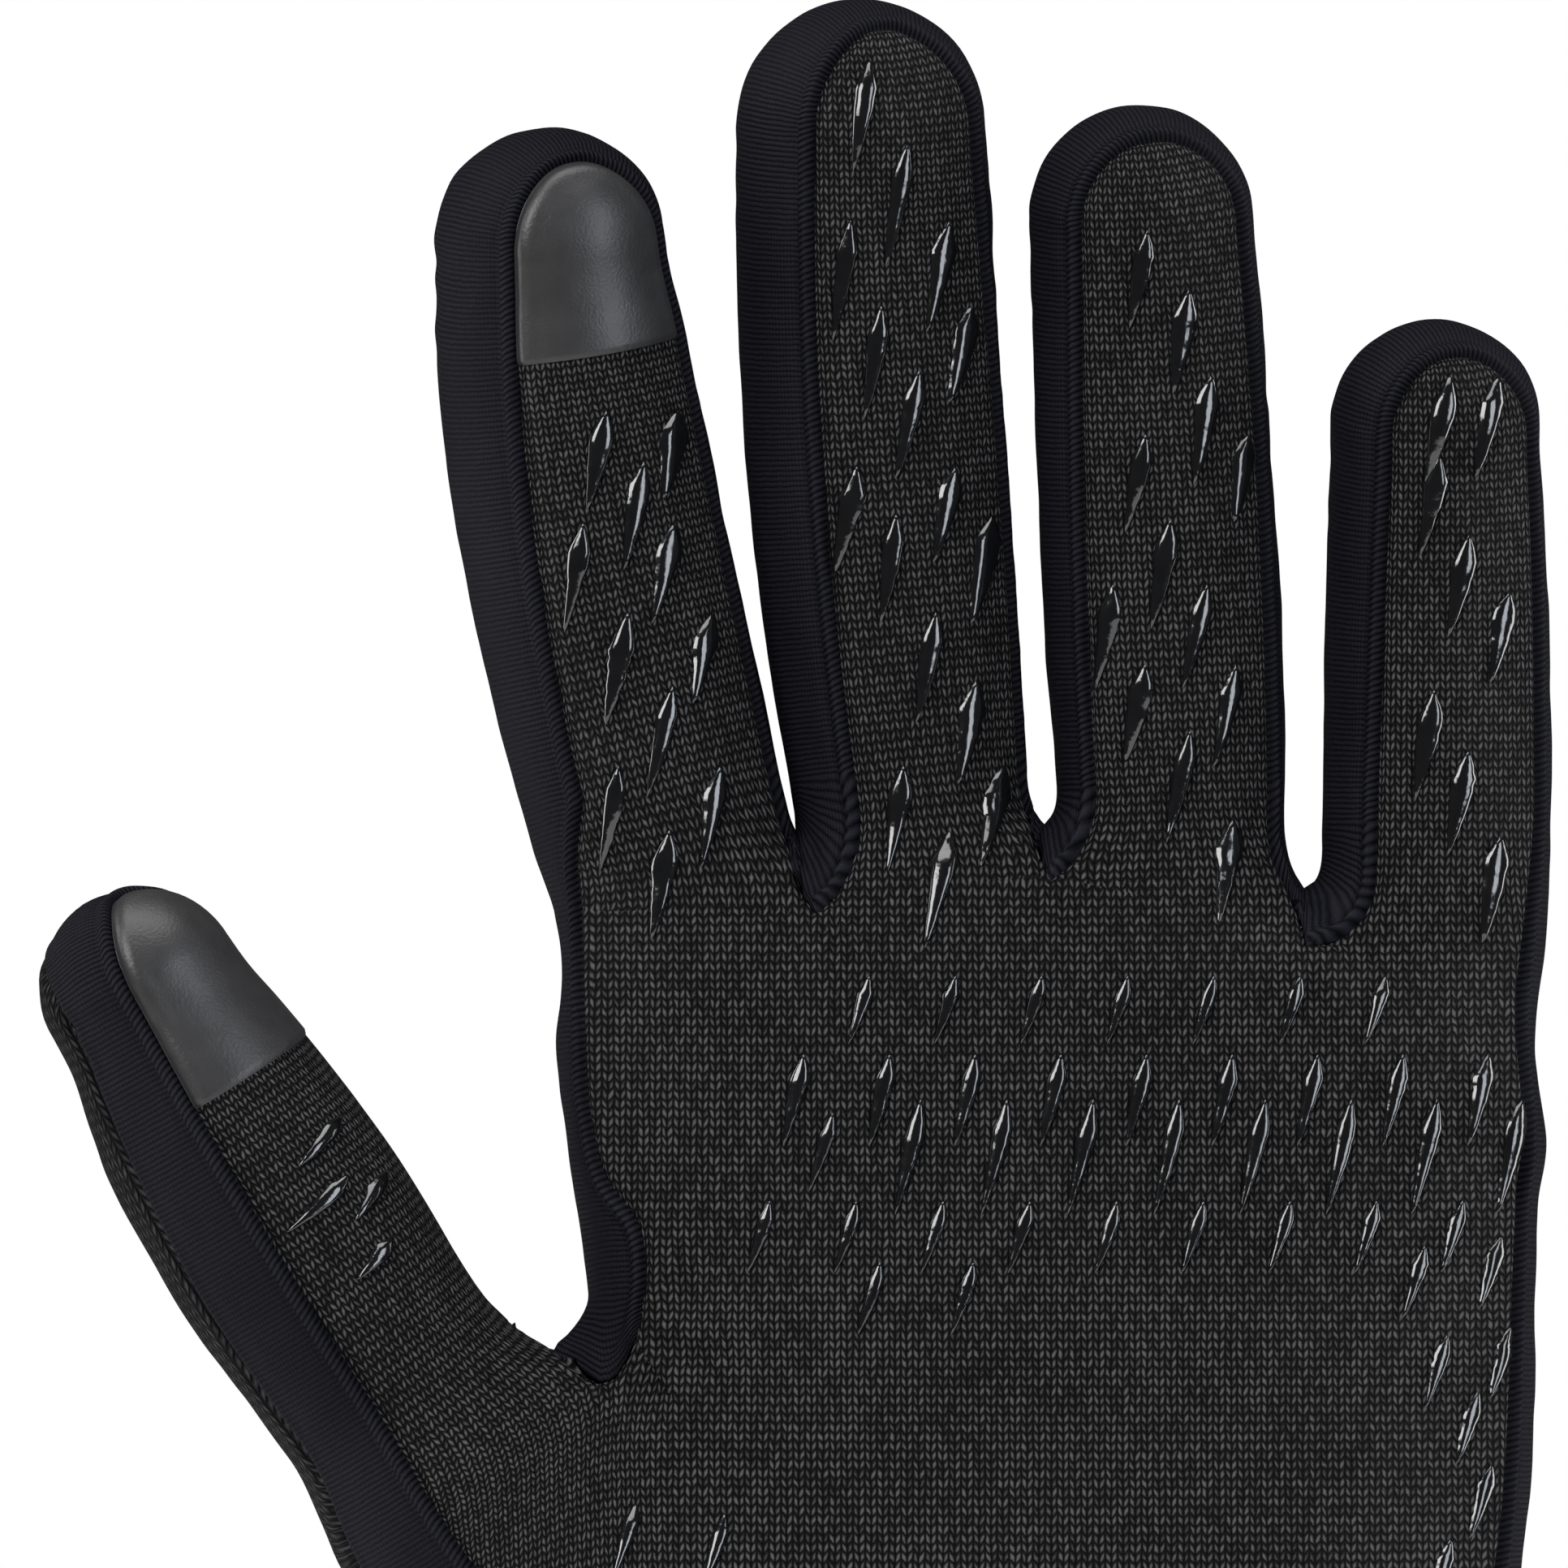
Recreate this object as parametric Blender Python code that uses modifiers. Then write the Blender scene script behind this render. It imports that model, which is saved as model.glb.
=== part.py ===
"""Left-hand touchscreen glove, standing on its cuff with the fingers up and the palm towards -Y.

The glove is a form like a hand: a palm slab and five tapered digits, joined smoothly. Each sewn panel
is a grid of points on that form, given the thickness of the fabric with Solidify. The digits fold at
two places each, so their panels stop at planes through the fold's axis, which leaves a notch in front
for the fold to close. Lengths below are millimetres; the objects are built in metres.
"""

import functools
import math

import bmesh
import bpy
import numpy as np

MM = 0.001
FABRIC = 1.0  # knit bonded to its brushed lining
SEAM_GAP = 0.5  # between neighbouring panels
WEB_GAP = 0.95  # between a web and the panels it is sewn to, wider as it bends both ways there
ORIGIN_X = -22.31  # the form's x that becomes the frame's x = 0, the middle of the whole glove

# The palm slab at heights above the cuff's edge: centre x, half width, half depth, squareness.
PALM_Z = (-10.0, 30.0, 60.0, 80.0, 100.0, 130.0, 150.0, 175.0)
PALM_CENTRE = (1.0, 1.0, 1.0, 2.0, 2.6, 1.6, 0.4, -0.3)
PALM_HALF_WIDTH = (37.5, 36.0, 36.0, 39.0, 42.4, 44.8, 46.4, 47.6)
PALM_HALF_DEPTH = (26.0, 25.0, 23.5, 21.0, 18.5, 16.0, 14.3, 13.0)
PALM_SQUARENESS = (2.1, 2.1, 2.15, 2.3, 2.5, 2.7, 2.8, 2.8)
PALM_TOP, PALM_TOP_FALL, PALM_TOP_ROUNDING = 172.5, (0.0045, 0.0085), 12.0
THENAR_FOOT, THENAR_TOP, THENAR_RADIUS = (-24.0, -4.0, 80.0), (-53.4, -5.5, 106.0), (15.0, 12.6)
THENAR_BLEND = 9.0
WRIST_Z = 60.0  # where the cuff is sewn on

# base: middle of the digit at the front of its crotch. bend: control point. tip: centre of the round
# end. radius at base, middle and tip. left, right: angle of the front panel's two seams from -Y, at the
# base and at the tip. gussets: width of the strips beside it, as angles. reach: how far the front panel
# goes over the round end. fold_at: the two folds along the digit. fold_range: how far each can close.
DIGITS = {
    "thumb": dict(base=(-58.2, -6.0, 113.0), bend=(-72.9, -8.0, 134.8), tip=(-84.7, -9.5, 155.0),
                  radius=(11.3, 12.3, 9.2), left=(-11, -3), right=(100, 105), gussets=(50, 24), reach=68,
                  fold_at=(15.0, 34.0), fold_range=(25, 50), blend=6.0),
    "index": dict(base=(-33.9, 0.0, 163.0), bend=(-44.1, 1.5, 198.6), tip=(-46.3, -4.0, 225.2),
                  radius=(11.9, 12.5, 10.6), left=(-38, -20), right=(70, 72), gussets=(75, 62), reach=54,
                  fold_at=(16.0, 42.0), fold_range=(65, 80), blend=5.0),
    "middle": dict(base=(-11.5, 0.0, 165.0), bend=(-16.6, 1.5, 204.2), tip=(-17.1, -4.0, 236.3),
                   radius=(10.7, 12.3, 11.6), left=(-30, -25), right=(76, 66), gussets=(78, 62), reach=61,
                   fold_at=(16.0, 46.0), fold_range=(65, 80), blend=5.0),
    "ring": dict(base=(12.6, 0.0, 164.0), bend=(11.0, 1.5, 196.6), tip=(9.1, -4.0, 227.6),
                 radius=(10.3, 11.2, 10.4), left=(-49, -37), right=(62, 64), gussets=(70, 68), reach=54,
                 fold_at=(16.0, 42.0), fold_range=(65, 80), blend=5.0),
    "little": dict(base=(37.0, 0.0, 160.5), bend=(37.2, 1.5, 185.0), tip=(36.9, -3.5, 208.0),
                   radius=(10.6, 10.6, 9.8), left=(-38, -30), right=(62, 64), gussets=(72, 68), reach=55,
                   fold_at=(16.0, 35.0), fold_range=(65, 80), blend=5.0),
}
FINGERS = ("index", "middle", "ring", "little")
DEPTH_RATIO = 0.92  # a digit's depth over its width
ARCH = 2.3  # squareness of the front panel's rounded end
BACK_REACH = 57.0  # how far over the round end the back panels reach, degrees
THUMB_ROLL = 50.0  # the thumb folds across the palm, the fingers straight forward
FOLD_GAP = 0.3  # left on each side of a fold's plane
NOTCH_SPARE = 2.5  # degrees by which half a notch is wider than half its fold
NOTCH_SWEEP = 82.0  # the notch's filling reaches this far round the digit each way
WEB_LENGTH = 7.5  # along a finger, the height of the U that its seams make at the crotch

# x, z of the ends of the fingers' seams at the crotches, from the index finger's outer seam to the
# little finger's, on the palm's side and on the back
CROTCHES_FRONT = ((-43.7, 162.7), (-22.4, 162.4), (0.9, 165.6), (25.4, 159.4), (45.2, 159.0))
CROTCHES_BACK = ((-44.2, 162.0), (-23.2, 164.0), (0.7, 166.6), (25.4, 160.8), (45.6, 159.0))
PALM_SEAM_FRONT = ((-38.4, 122.6), (-37.6, 133.0), (-41.0, 148.0), (-43.0, 154.5))
PALM_SEAM_BACK = ((-39.8, 121.0), (-40.4, 133.0), (-42.0, 148.0), (-43.4, 154.5))
THUMB_ROOT, THUMB_TURN, THUMB_SADDLE = (-37.0, -4.0, 111.0), (-43.5, -10.0, 121.8), (-47.0, -4.0, 121.6)
THUMB_WRIST_ANGLES = (-27.0, -60.0)  # the thumb's outer gusset at the wrist, round the thumb's line
DIVIDER_ANGLES = (35.0, -206.0)  # line between the thumb's and the palm's part of a panel, at the wrist
OUTER_SEAM_ANGLES = (62.0, 118.0)  # the little finger's gusset down the palm, at the palm's edge

CUFF_WALL, HEM_WALL, HEM_HEIGHT = 1.6, 2.4, 16.0
ELASTIC_HEIGHT, ELASTIC_WALL = 9.0, 1.0
LABEL_SIZE = (22.0, 0.8, 30.0)
PAD_WALL, PAD_LIFT = 0.6, 0.45
PAD_BELOW_END = {"index": 11.2, "thumb": 12.0}  # from the round end's start down to the pad's edge


# ---------------------------------------------------------------- the form

def smooth_steps(x, at, values):
    """Values between the stations of a profile, on a smooth curve through them."""
    at, values = np.asarray(at, float), np.asarray(values, float)
    slopes = np.gradient(values, at)
    x = np.clip(x, at[0], at[-1])
    i = np.clip(np.searchsorted(at, x) - 1, 0, len(at) - 2)
    h = at[i + 1] - at[i]
    t = (x - at[i]) / h
    return (values[i] * (1 + 2 * t) * (1 - t) ** 2 + slopes[i] * h * t * (1 - t) ** 2
            + values[i + 1] * t * t * (3 - 2 * t) + slopes[i + 1] * h * t * t * (t - 1))


def mix(a, b, t):
    return a * (1 - t) + b * t


def smooth_min(a, b, k):
    h = np.maximum(k - np.abs(a - b), 0) / k
    return np.minimum(a, b) - h * h * k / 4


def palm_field(p):
    x, y, z = p[..., 0], p[..., 1], p[..., 2]
    half_width = smooth_steps(z, PALM_Z, PALM_HALF_WIDTH)
    half_depth = smooth_steps(z, PALM_Z, PALM_HALF_DEPTH)
    n = smooth_steps(z, PALM_Z, PALM_SQUARENESS)
    across = np.abs(x - smooth_steps(z, PALM_Z, PALM_CENTRE)) / half_width
    side = ((across ** n + (np.abs(y) / half_depth) ** n + 1e-12) ** (1 / n) - 1) * half_depth
    top = z - (PALM_TOP - np.where(x < 0, *PALM_TOP_FALL) * x * x)
    return -smooth_min(-side, -top, PALM_TOP_ROUNDING)


def digit_length(name):
    d = DIGITS[name]
    return float(np.linalg.norm(np.subtract(d["tip"], d["base"])))


def digit_point(name, s):
    """The digit's middle line at s millimetres from its base, straight beyond its ends."""
    base, bend, tip = (np.array(DIGITS[name][k], float) for k in ("base", "bend", "tip"))
    t = np.asarray(s, float)[..., None] / digit_length(name)
    inside = np.clip(t, 0, 1)
    on_curve = (1 - inside) ** 2 * base + 2 * inside * (1 - inside) * bend + inside ** 2 * tip
    return on_curve + np.minimum(t, 0) * 2 * (bend - base) + np.maximum(t - 1, 0) * 2 * (tip - bend)


def digit_frame(name, s):
    """Unit vectors along the digit, towards its front (-Y) and to its side (+X)."""
    s = np.asarray(s, float)
    ahead = digit_point(name, s + 0.5) - digit_point(name, s - 0.5)
    along = ahead / np.linalg.norm(ahead, axis=-1, keepdims=True)
    front = np.array([0.0, -1.0, 0.0]) + along * along[..., 1:2]
    front /= np.linalg.norm(front, axis=-1, keepdims=True)
    return along, front, np.cross(along, front)


def digit_field(name, p):
    """Distance from a digit: a chain of short tapered rods, flattened a little from front to back."""
    radius, length = DIGITS[name]["radius"], digit_length(name)
    stations = np.linspace(-0.35 * length, length, 10)
    radii = smooth_steps(stations, (-0.35 * length, 0, length / 2, length), (radius[0], *radius))
    squash = np.array([1.0, 1.0 / DEPTH_RATIO, 1.0])
    points, q = digit_point(name, stations) * squash, p * squash
    best = np.full(p.shape[:-1], np.inf)
    for a, b, ra, rb in zip(points[:-1], points[1:], radii[:-1], radii[1:]):
        t = np.clip(((q - a) @ (b - a)) / ((b - a) @ (b - a)), 0, 1)
        best = np.minimum(best, np.linalg.norm(q - a - t[..., None] * (b - a), axis=-1) - mix(ra, rb, t))
    return best


def thenar_field(p):
    """The ball of the thumb, between the wrist and the thumb's base."""
    a, b = np.array(THENAR_FOOT), np.array(THENAR_TOP)
    t = np.clip(((p - a) @ (b - a)) / ((b - a) @ (b - a)), 0, 1)
    return np.linalg.norm(p - a - t[..., None] * (b - a), axis=-1) - mix(*THENAR_RADIUS, t)


def form_field(p, name=None):
    """Negative inside the glove's form. With a finger's name, only in the space nearest that finger."""
    palm = smooth_min(palm_field(p), thenar_field(p), THENAR_BLEND)
    if name == "thumb":
        return smooth_min(palm, digit_field(name, p), DIGITS[name]["blend"])
    near = {d: digit_field(d, p) for d in DIGITS}
    field = np.minimum.reduce([smooth_min(palm, near[d], DIGITS[d]["blend"]) for d in DIGITS])
    if name is None:
        return field
    k = FINGERS.index(name)
    beside = [near[d] for d in FINGERS[max(k - 1, 0):k + 2] if d != name]
    return np.maximum(field, near[name] - np.minimum.reduce(beside))


def cast(origins, directions, name=None, reach=60.0):
    """The points where rays from inside leave the form."""
    directions = directions / np.linalg.norm(directions, axis=-1, keepdims=True)
    near, far = np.zeros(origins.shape[:-1]), np.full(origins.shape[:-1], reach)
    found = np.zeros(origins.shape[:-1], bool)
    steps = np.linspace(0, reach, 31)
    for before, after in zip(steps[:-1], steps[1:]):
        out = ~found & (form_field(origins + directions * after, name) > 0)
        near, far = np.where(out, before, near), np.where(out, after, far)
        found |= out
    for _ in range(14):
        middle = (near + far) / 2
        out = form_field(origins + directions * middle[..., None], name) > 0
        near, far = np.where(out, near, middle), np.where(out, middle, far)
    return origins + directions * far[..., None]


def ring_points(name, s, angle):
    """Points of the form around a digit, at s and at angles in degrees from its front."""
    s, angle = np.broadcast_arrays(np.asarray(s, float), np.radians(np.asarray(angle, float)))
    _, front, side = digit_frame(name, s)
    directions = np.cos(angle)[..., None] * front + np.sin(angle)[..., None] * side
    return cast(digit_point(name, s), directions, name)


def end_points(name, angle, rise):
    """Points over the digit's round end: rise is 0 at its side and 90 degrees at its very tip."""
    angle, rise = np.broadcast_arrays(np.radians(angle), np.radians(rise))
    length = np.full(angle.shape, digit_length(name))
    along, front, side = digit_frame(name, length)
    level = np.cos(angle)[..., None] * front + np.sin(angle)[..., None] * side
    directions = np.cos(rise)[..., None] * level + np.sin(rise)[..., None] * along
    return cast(digit_point(name, length), directions, name)


def digit_coordinates(name, points):
    """The s and angle of points on the form, as ring_points takes them."""
    s = np.zeros(points.shape[:-1])
    for _ in range(12):
        along, front, side = digit_frame(name, s)
        s = s + ((points - digit_point(name, s)) * along).sum(-1)
    away = points - digit_point(name, s)
    return s, np.degrees(np.arctan2((away * side).sum(-1), (away * front).sum(-1)))


def pressed(xz, facing):
    """Points of the form straight in front of (facing -1) or behind (facing 1) points x, z."""
    xz = np.asarray(xz, float)
    origins = np.stack([xz[..., 0], np.zeros(xz.shape[:-1]), xz[..., 1]], axis=-1)
    return cast(origins, np.broadcast_to([0.0, float(facing), 0.0], origins.shape), None, 45.0)


# ---------------------------------------------------------------- seams

PANEL_COLUMNS = np.array([0, 0.12, 0.37, 0.63, 0.88, 1])
COLLAR_COLUMNS = np.array([0, 0.13, 0.5, 0.87, 1])
STRIP_COLUMNS = np.array([0, 0.18, 0.5, 0.82, 1])
COLLAR_ROWS = np.array([0, 0.07, 0.22, 0.55, 1])
THUMB_ROWS = np.array([0, 0.1, 0.2, 0.55, 1])
LOW_ROWS, HIGH_ROWS = np.linspace(0, 1, 6), np.linspace(0, 1, 5)


def front_seams(name, s):
    """Angles of the two seams of a digit's front panel, at s."""
    d = DIGITS[name]
    t = np.clip(np.asarray(s, float) / digit_length(name), 0, 1)
    return mix(*d["left"], t), mix(*d["right"], t)


def back_seams(name, s):
    """The same for the back panel, which starts beyond 180 degrees at its left."""
    low, high = front_seams(name, s)
    gussets = DIGITS[name]["gussets"]
    return low - gussets[0] + 360, high + gussets[1]


def fold_setback(name, fold, angle):
    """How far from a fold's plane the panels stop, at an angle around the digit."""
    d = DIGITS[name]
    roll = THUMB_ROLL if name == "thumb" else 0.0
    forward = np.maximum(np.cos(np.radians(np.asarray(angle, float) - roll)), 0)
    slope = math.tan(math.radians(d["fold_range"][fold] / 2 + NOTCH_SPARE))
    return FOLD_GAP + forward * (max(d["radius"]) + 0.6) * slope


def crease_x(left, right, y, z):
    """x between two neighbouring fingers, as far inside or outside the one as the other."""
    middle = CROTCHES_FRONT[FINGERS.index(right)][0]
    low, high = np.full(np.shape(y), middle - 8.0), np.full(np.shape(y), middle + 8.0)
    for _ in range(14):
        x = (low + high) / 2
        p = np.stack(np.broadcast_arrays(x, y, z), axis=-1)
        beyond = digit_field(left, p) > digit_field(right, p)
        low, high = np.where(beyond, low, x), np.where(beyond, x, high)
    return (low + high) / 2


def crease_cast(left, right, z, dy, dz):
    """The points between two fingers where rays from the middle depth leave the form."""
    near, far = np.zeros(np.shape(dy)), np.full(np.shape(dy), 22.0)
    for _ in range(14):
        r = (near + far) / 2
        p = np.stack([crease_x(left, right, r * dy, z + r * dz), r * dy, z + r * dz], axis=-1)
        out = form_field(p) > 0
        near, far = np.where(out, near, r), np.where(out, r, far)
    return p


@functools.cache
def crotch_points(facing):
    """Where the fingers' seams end."""
    points = pressed(CROTCHES_FRONT if facing < 0 else CROTCHES_BACK, facing)
    for k, (left, right) in enumerate(zip(FINGERS[:-1], FINGERS[1:]), 1):
        points[k] = crease_cast(left, right, points[k, 2], np.array([float(facing)]), np.zeros(1))[0]
    return points


def finger_edge(name, side, facing, share):
    """s and angle along an edge of a finger's panel, from its crotch (share 0) to the first fold (1)."""
    seams = front_seams if facing < 0 else back_seams
    crotch = crotch_points(facing)[FINGERS.index(name) + side]
    start = digit_coordinates(name, crotch)[0]
    corner = ring_points(name, start + WEB_LENGTH, seams(name, start + WEB_LENGTH)[side])
    top = DIGITS[name]["fold_at"][0]
    s = mix(start, top - fold_setback(name, 0, seams(name, top)[side]), np.asarray(share, float))
    rise = np.clip((s - start) / WEB_LENGTH, 0, 1)[:, None]
    out = np.sqrt(1 - (1 - rise) ** 2)
    guess = crotch + (corner - crotch) * np.concatenate([out, out, rise], axis=1)
    turned_s, turned = digit_coordinates(name, guess)
    if facing > 0:
        turned = turned % 360
    on_shaft = rise[:, 0] >= 1
    return np.where(on_shaft, s, turned_s), np.where(on_shaft, seams(name, s)[side], turned)


@functools.cache
def thumb_crotch(facing):
    """The point where the thumb's and the palm's parts of a panel meet the gusset between them."""
    return pressed([PALM_SEAM_FRONT[0] if facing < 0 else PALM_SEAM_BACK[0]], facing)[0]


@functools.cache
def thumb_turn():
    """The seam round the crotch's front, from where it leaves the palm to the crotch's lowest point."""
    origin = np.array(THUMB_ROOT)
    ends = thumb_crotch(-1), cast(origin, np.array(THUMB_SADDLE) - origin)
    middle = np.array(THUMB_TURN) - origin
    return np.array([ends[0], cast(origin, middle), ends[1]])


def thumb_edge(side, facing, share):
    """s and angle along an edge of the thumb's panel, from its base (share 0) to the first fold (1)."""
    top = DIGITS["thumb"]["fold_at"][0]
    seams = front_seams if facing < 0 else back_seams
    turn = 0 if facing < 0 else 360
    straight = seams("thumb", top)[side] - turn * (side == 0)
    end = top - fold_setback("thumb", 0, straight)
    if side == 0:
        s = mix(0.0, end, share)
        return s, seams("thumb", s)[0] - turn
    if facing < 0:
        s, angle = digit_coordinates("thumb", thumb_turn())
        stations = (*THUMB_ROWS[:4], 1)
        return (smooth_steps(share, stations, (*s, 7.0, end)),
                smooth_steps(share, stations, (*angle, 100.0, straight)))
    start, angle = digit_coordinates("thumb", thumb_crotch(facing))
    return mix(start, end, share), mix(angle % 360, straight, share) - turn


def collar_grid(name, facing, rows, columns):
    """A digit's part of the palm panel or the hand's back, from its base up to its first fold."""
    edge = thumb_edge if name == "thumb" else functools.partial(finger_edge, name)
    left, right = edge(0, facing, rows), edge(1, facing, rows)
    bottom = [mix(left[k][0], right[k][0], columns) for k in (0, 1)]
    angle = mix(left[1][-1], right[1][-1], columns)
    top = (DIGITS[name]["fold_at"][0] - fold_setback(name, 0, angle), angle)
    grid = skin_patch(name, bottom, top, left, right, columns, rows)
    if name == "thumb":
        grid[0, -1] = thumb_crotch(facing)
    else:
        grid[0, 0], grid[0, -1] = crotch_points(facing)[FINGERS.index(name):FINGERS.index(name) + 2]
    return grid


def wrist_reach(angle):
    """How far back along the thumb's line the form's surface is at the wrist, at an angle round it."""
    s = np.full(np.shape(angle), -60.0)
    for _ in range(14):
        along = digit_frame("thumb", s)[0]
        s = s + (WRIST_Z - ring_points("thumb", s, angle)[..., 2]) / along[..., 2]
    return s


def thumb_block(facing, rows, columns):
    """The ball of the thumb's part of the palm panel or the hand's back, from the wrist up."""
    s0, a0 = thumb_edge(0, facing, np.zeros(1))
    s1, a1 = thumb_edge(1, facing, np.zeros(1))
    seam, divider = ((THUMB_WRIST_ANGLES[0], DIVIDER_ANGLES[0]) if facing < 0
                     else (THUMB_WRIST_ANGLES[1], DIVIDER_ANGLES[1]))
    low = mix(seam, divider, columns)
    angle = mix(low, mix(a0, a1, columns), rows[:, None])
    s = mix(wrist_reach(low), mix(s0, s1, columns), rows[:, None])
    grid = ring_points("thumb", s, angle)
    grid[-1, -1] = thumb_crotch(facing)
    return grid


def coons(bottom, top, left, right, u, v):
    """A grid between four boundary curves: rows run from bottom to top, at shares u and v."""
    u, v = u[None, :, None], v[:, None, None]
    corners = mix(mix(bottom[0], bottom[-1], u), mix(top[0], top[-1], u), v)
    return mix(bottom[None], top[None], v) + mix(left[:, None], right[:, None], u) - corners


def curve_through(points, share):
    """Points at shares of the length of a smooth curve through a few given ones."""
    points = np.asarray(points, float)
    at = np.concatenate([[0], np.cumsum(np.linalg.norm(np.diff(points, axis=0), axis=1))])
    return np.stack([smooth_steps(share * at[-1], at, points[:, k]) for k in range(points.shape[1])], axis=-1)


def inner_seam(facing, share):
    """The seam down the palm's edge from the index finger's base (share 1) to the thumb's crotch (0)."""
    end = crotch_points(facing)[0]
    points = [*(PALM_SEAM_FRONT if facing < 0 else PALM_SEAM_BACK), (end[0], end[2])]
    seam = pressed(curve_through(points, share), facing)
    seam[-1] = end
    return seam


def outer_seam(facing, share):
    """The seam down the palm's outer edge, from the little finger's base (share 1) to the wrist (0)."""
    end = crotch_points(facing)[-1]
    angle = np.radians(OUTER_SEAM_ANGLES[0] if facing < 0 else OUTER_SEAM_ANGLES[1])
    z = mix(WRIST_Z, end[2], share)
    inset = smooth_steps(z, PALM_Z, PALM_HALF_WIDTH) - smooth_steps(z, PALM_Z, PALM_HALF_DEPTH)
    origins = np.stack([smooth_steps(z, PALM_Z, PALM_CENTRE) + inset, 0 * z, z], axis=-1)
    directions = np.broadcast_to([math.sin(angle), -math.cos(angle), 0.0], origins.shape)
    seam = cast(origins, directions, None, 45.0)
    return seam + (end - seam[-1]) * (share ** 3)[:, None]


def palm_block(facing, columns):
    """The palm's part of the palm panel or the hand's back, from the wrist to the fingers' crotches."""
    line = np.concatenate([collar_grid(f, facing, COLLAR_ROWS, columns)[0][(f != FINGERS[0]):]
                           for f in FINGERS])
    divider = thumb_block(facing, LOW_ROWS, columns)[:, -1]
    left = np.concatenate([divider, inner_seam(facing, HIGH_ROWS)[1:]])
    share = np.concatenate([LOW_ROWS * 0.6, 0.6 + HIGH_ROWS[1:] * 0.4])
    right = outer_seam(facing, share)
    u = (line[:, 0] - line[0, 0]) / (line[-1, 0] - line[0, 0])
    bottom = pressed(np.stack([mix(divider[0][0], right[0][0], u), np.full(len(u), WRIST_Z)], -1), facing)
    bottom[0], bottom[-1] = divider[0], right[0]
    grid = coons(bottom, line, left, right, u, share)
    grid[1:-1, 1:-1] = pressed(grid[1:-1, 1:-1, ::2], facing)
    return grid


def fan(origin, first, last, share, name=None):
    """Points of the form from first to last, along rays that swing from one to the other."""
    start, stop = first - origin, last - origin
    start = start / np.linalg.norm(start, axis=-1, keepdims=True)
    stop = stop / np.linalg.norm(stop, axis=-1, keepdims=True)
    turn = np.arccos(np.clip((start * stop).sum(-1, keepdims=True), -1, 1))[..., None, :]
    t = share[:, None]
    rays = (np.sin((1 - t) * turn) * start[..., None, :] + np.sin(t * turn) * stop[..., None, :])
    points = cast(np.broadcast_to(origin[..., None, :], rays.shape), rays, name, 45.0)
    points[..., 0, :], points[..., -1, :] = first, last
    return points


def skin_patch(name, bottom, top, left, right, columns, rows):
    """A grid on a digit between four edges, each a pair of s and angle, blended as such."""
    bottom, top, left, right = (np.stack(edge, axis=-1) for edge in (bottom, top, left, right))
    grid = coons(bottom, top, left, right, columns, rows)
    return ring_points(name, grid[..., 0], grid[..., 1])


def side_strip(name, side, foot, rows, columns):
    """A gusset on one side of a finger, from a given bottom edge up to the first fold."""
    front_edge, back_edge = finger_edge(name, side, -1, rows), finger_edge(name, side, 1, rows)
    back_edge = (back_edge[0], back_edge[1] - 360 * (side == 0))
    angle = mix(front_edge[1][-1], back_edge[1][-1], columns)
    top = (DIGITS[name]["fold_at"][0] - fold_setback(name, 0, angle), angle)
    s, turn = digit_coordinates(name, foot)
    turn = np.where(turn * (side * 2 - 1) < -90, turn + 360 * (side * 2 - 1), turn)
    grid = skin_patch(name, (s, turn), top, front_edge, back_edge, columns, rows)
    grid[0] = foot
    return grid


def web_grid(left, right, rows, columns):
    """The U-shaped gusset between two fingers, up to their first folds."""
    k = FINGERS.index(right)
    front, back = crotch_points(-1)[k], crotch_points(1)[k]
    z = (front[2] + back[2]) / 2 - 8.0
    turn = mix(math.atan2(front[2] - z, -front[1]), math.pi - math.atan2(back[2] - z, back[1]), columns)
    foot = crease_cast(left, right, z, -np.cos(turn), np.sin(turn))
    foot[0], foot[-1] = front, back
    one = side_strip(left, 1, foot, rows, columns)
    other = side_strip(right, 0, foot, rows, columns)
    return np.concatenate([one[::-1], other[1:]])


def thumb_web_grids(low_rows, rows, columns):
    """The gusset from the index finger down the palm's edge to the crotch, and on up the thumb's side."""
    turn = thumb_turn()
    line = np.concatenate([turn, fan(np.array(THUMB_ROOT), turn[-1], thumb_crotch(1), columns)[1:]])
    inner = [inner_seam(-1, low_rows), inner_seam(1, low_rows)]
    middle = (inner[0] + inner[1]) / 2 * np.array([1, 0, 1]) + np.array([14.0, 0, 0])
    across = np.linspace(0, 1, len(line))
    low = fan(middle, inner[0], inner[1], across)
    low[0] = line
    high = side_strip("index", 0, low[-1], rows, across)
    front_edge, back_edge = thumb_edge(1, -1, mix(THUMB_ROWS[2], 1, rows)), thumb_edge(1, 1, rows)
    back_edge = (back_edge[0], back_edge[1] + 360)
    angle = mix(front_edge[1][-1], back_edge[1][-1], columns)
    top = (DIGITS["thumb"]["fold_at"][0] - fold_setback("thumb", 0, angle), angle)
    foot = line[len(turn) - 1:]
    foot_s, foot_angle = digit_coordinates("thumb", foot)
    thumb = skin_patch("thumb", (foot_s, foot_angle % 360), top, front_edge, back_edge, columns, rows)
    thumb[0] = foot
    return np.concatenate([low, high[1:]]), thumb


def little_edge_grid(low_rows, rows, columns):
    """The gusset down the palm's outer edge, from the little finger's first fold to the wrist."""
    front, back = outer_seam(-1, low_rows), outer_seam(1, low_rows)
    origin = (front + back) / 2 * np.array([1, 0, 1]) - np.array([12.0, 0, 0])
    low = fan(origin, front, back, columns)
    low[0, :, 2] = WRIST_Z
    return np.concatenate([low, side_strip("little", 1, low[-1], rows, columns)[1:]])


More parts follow.
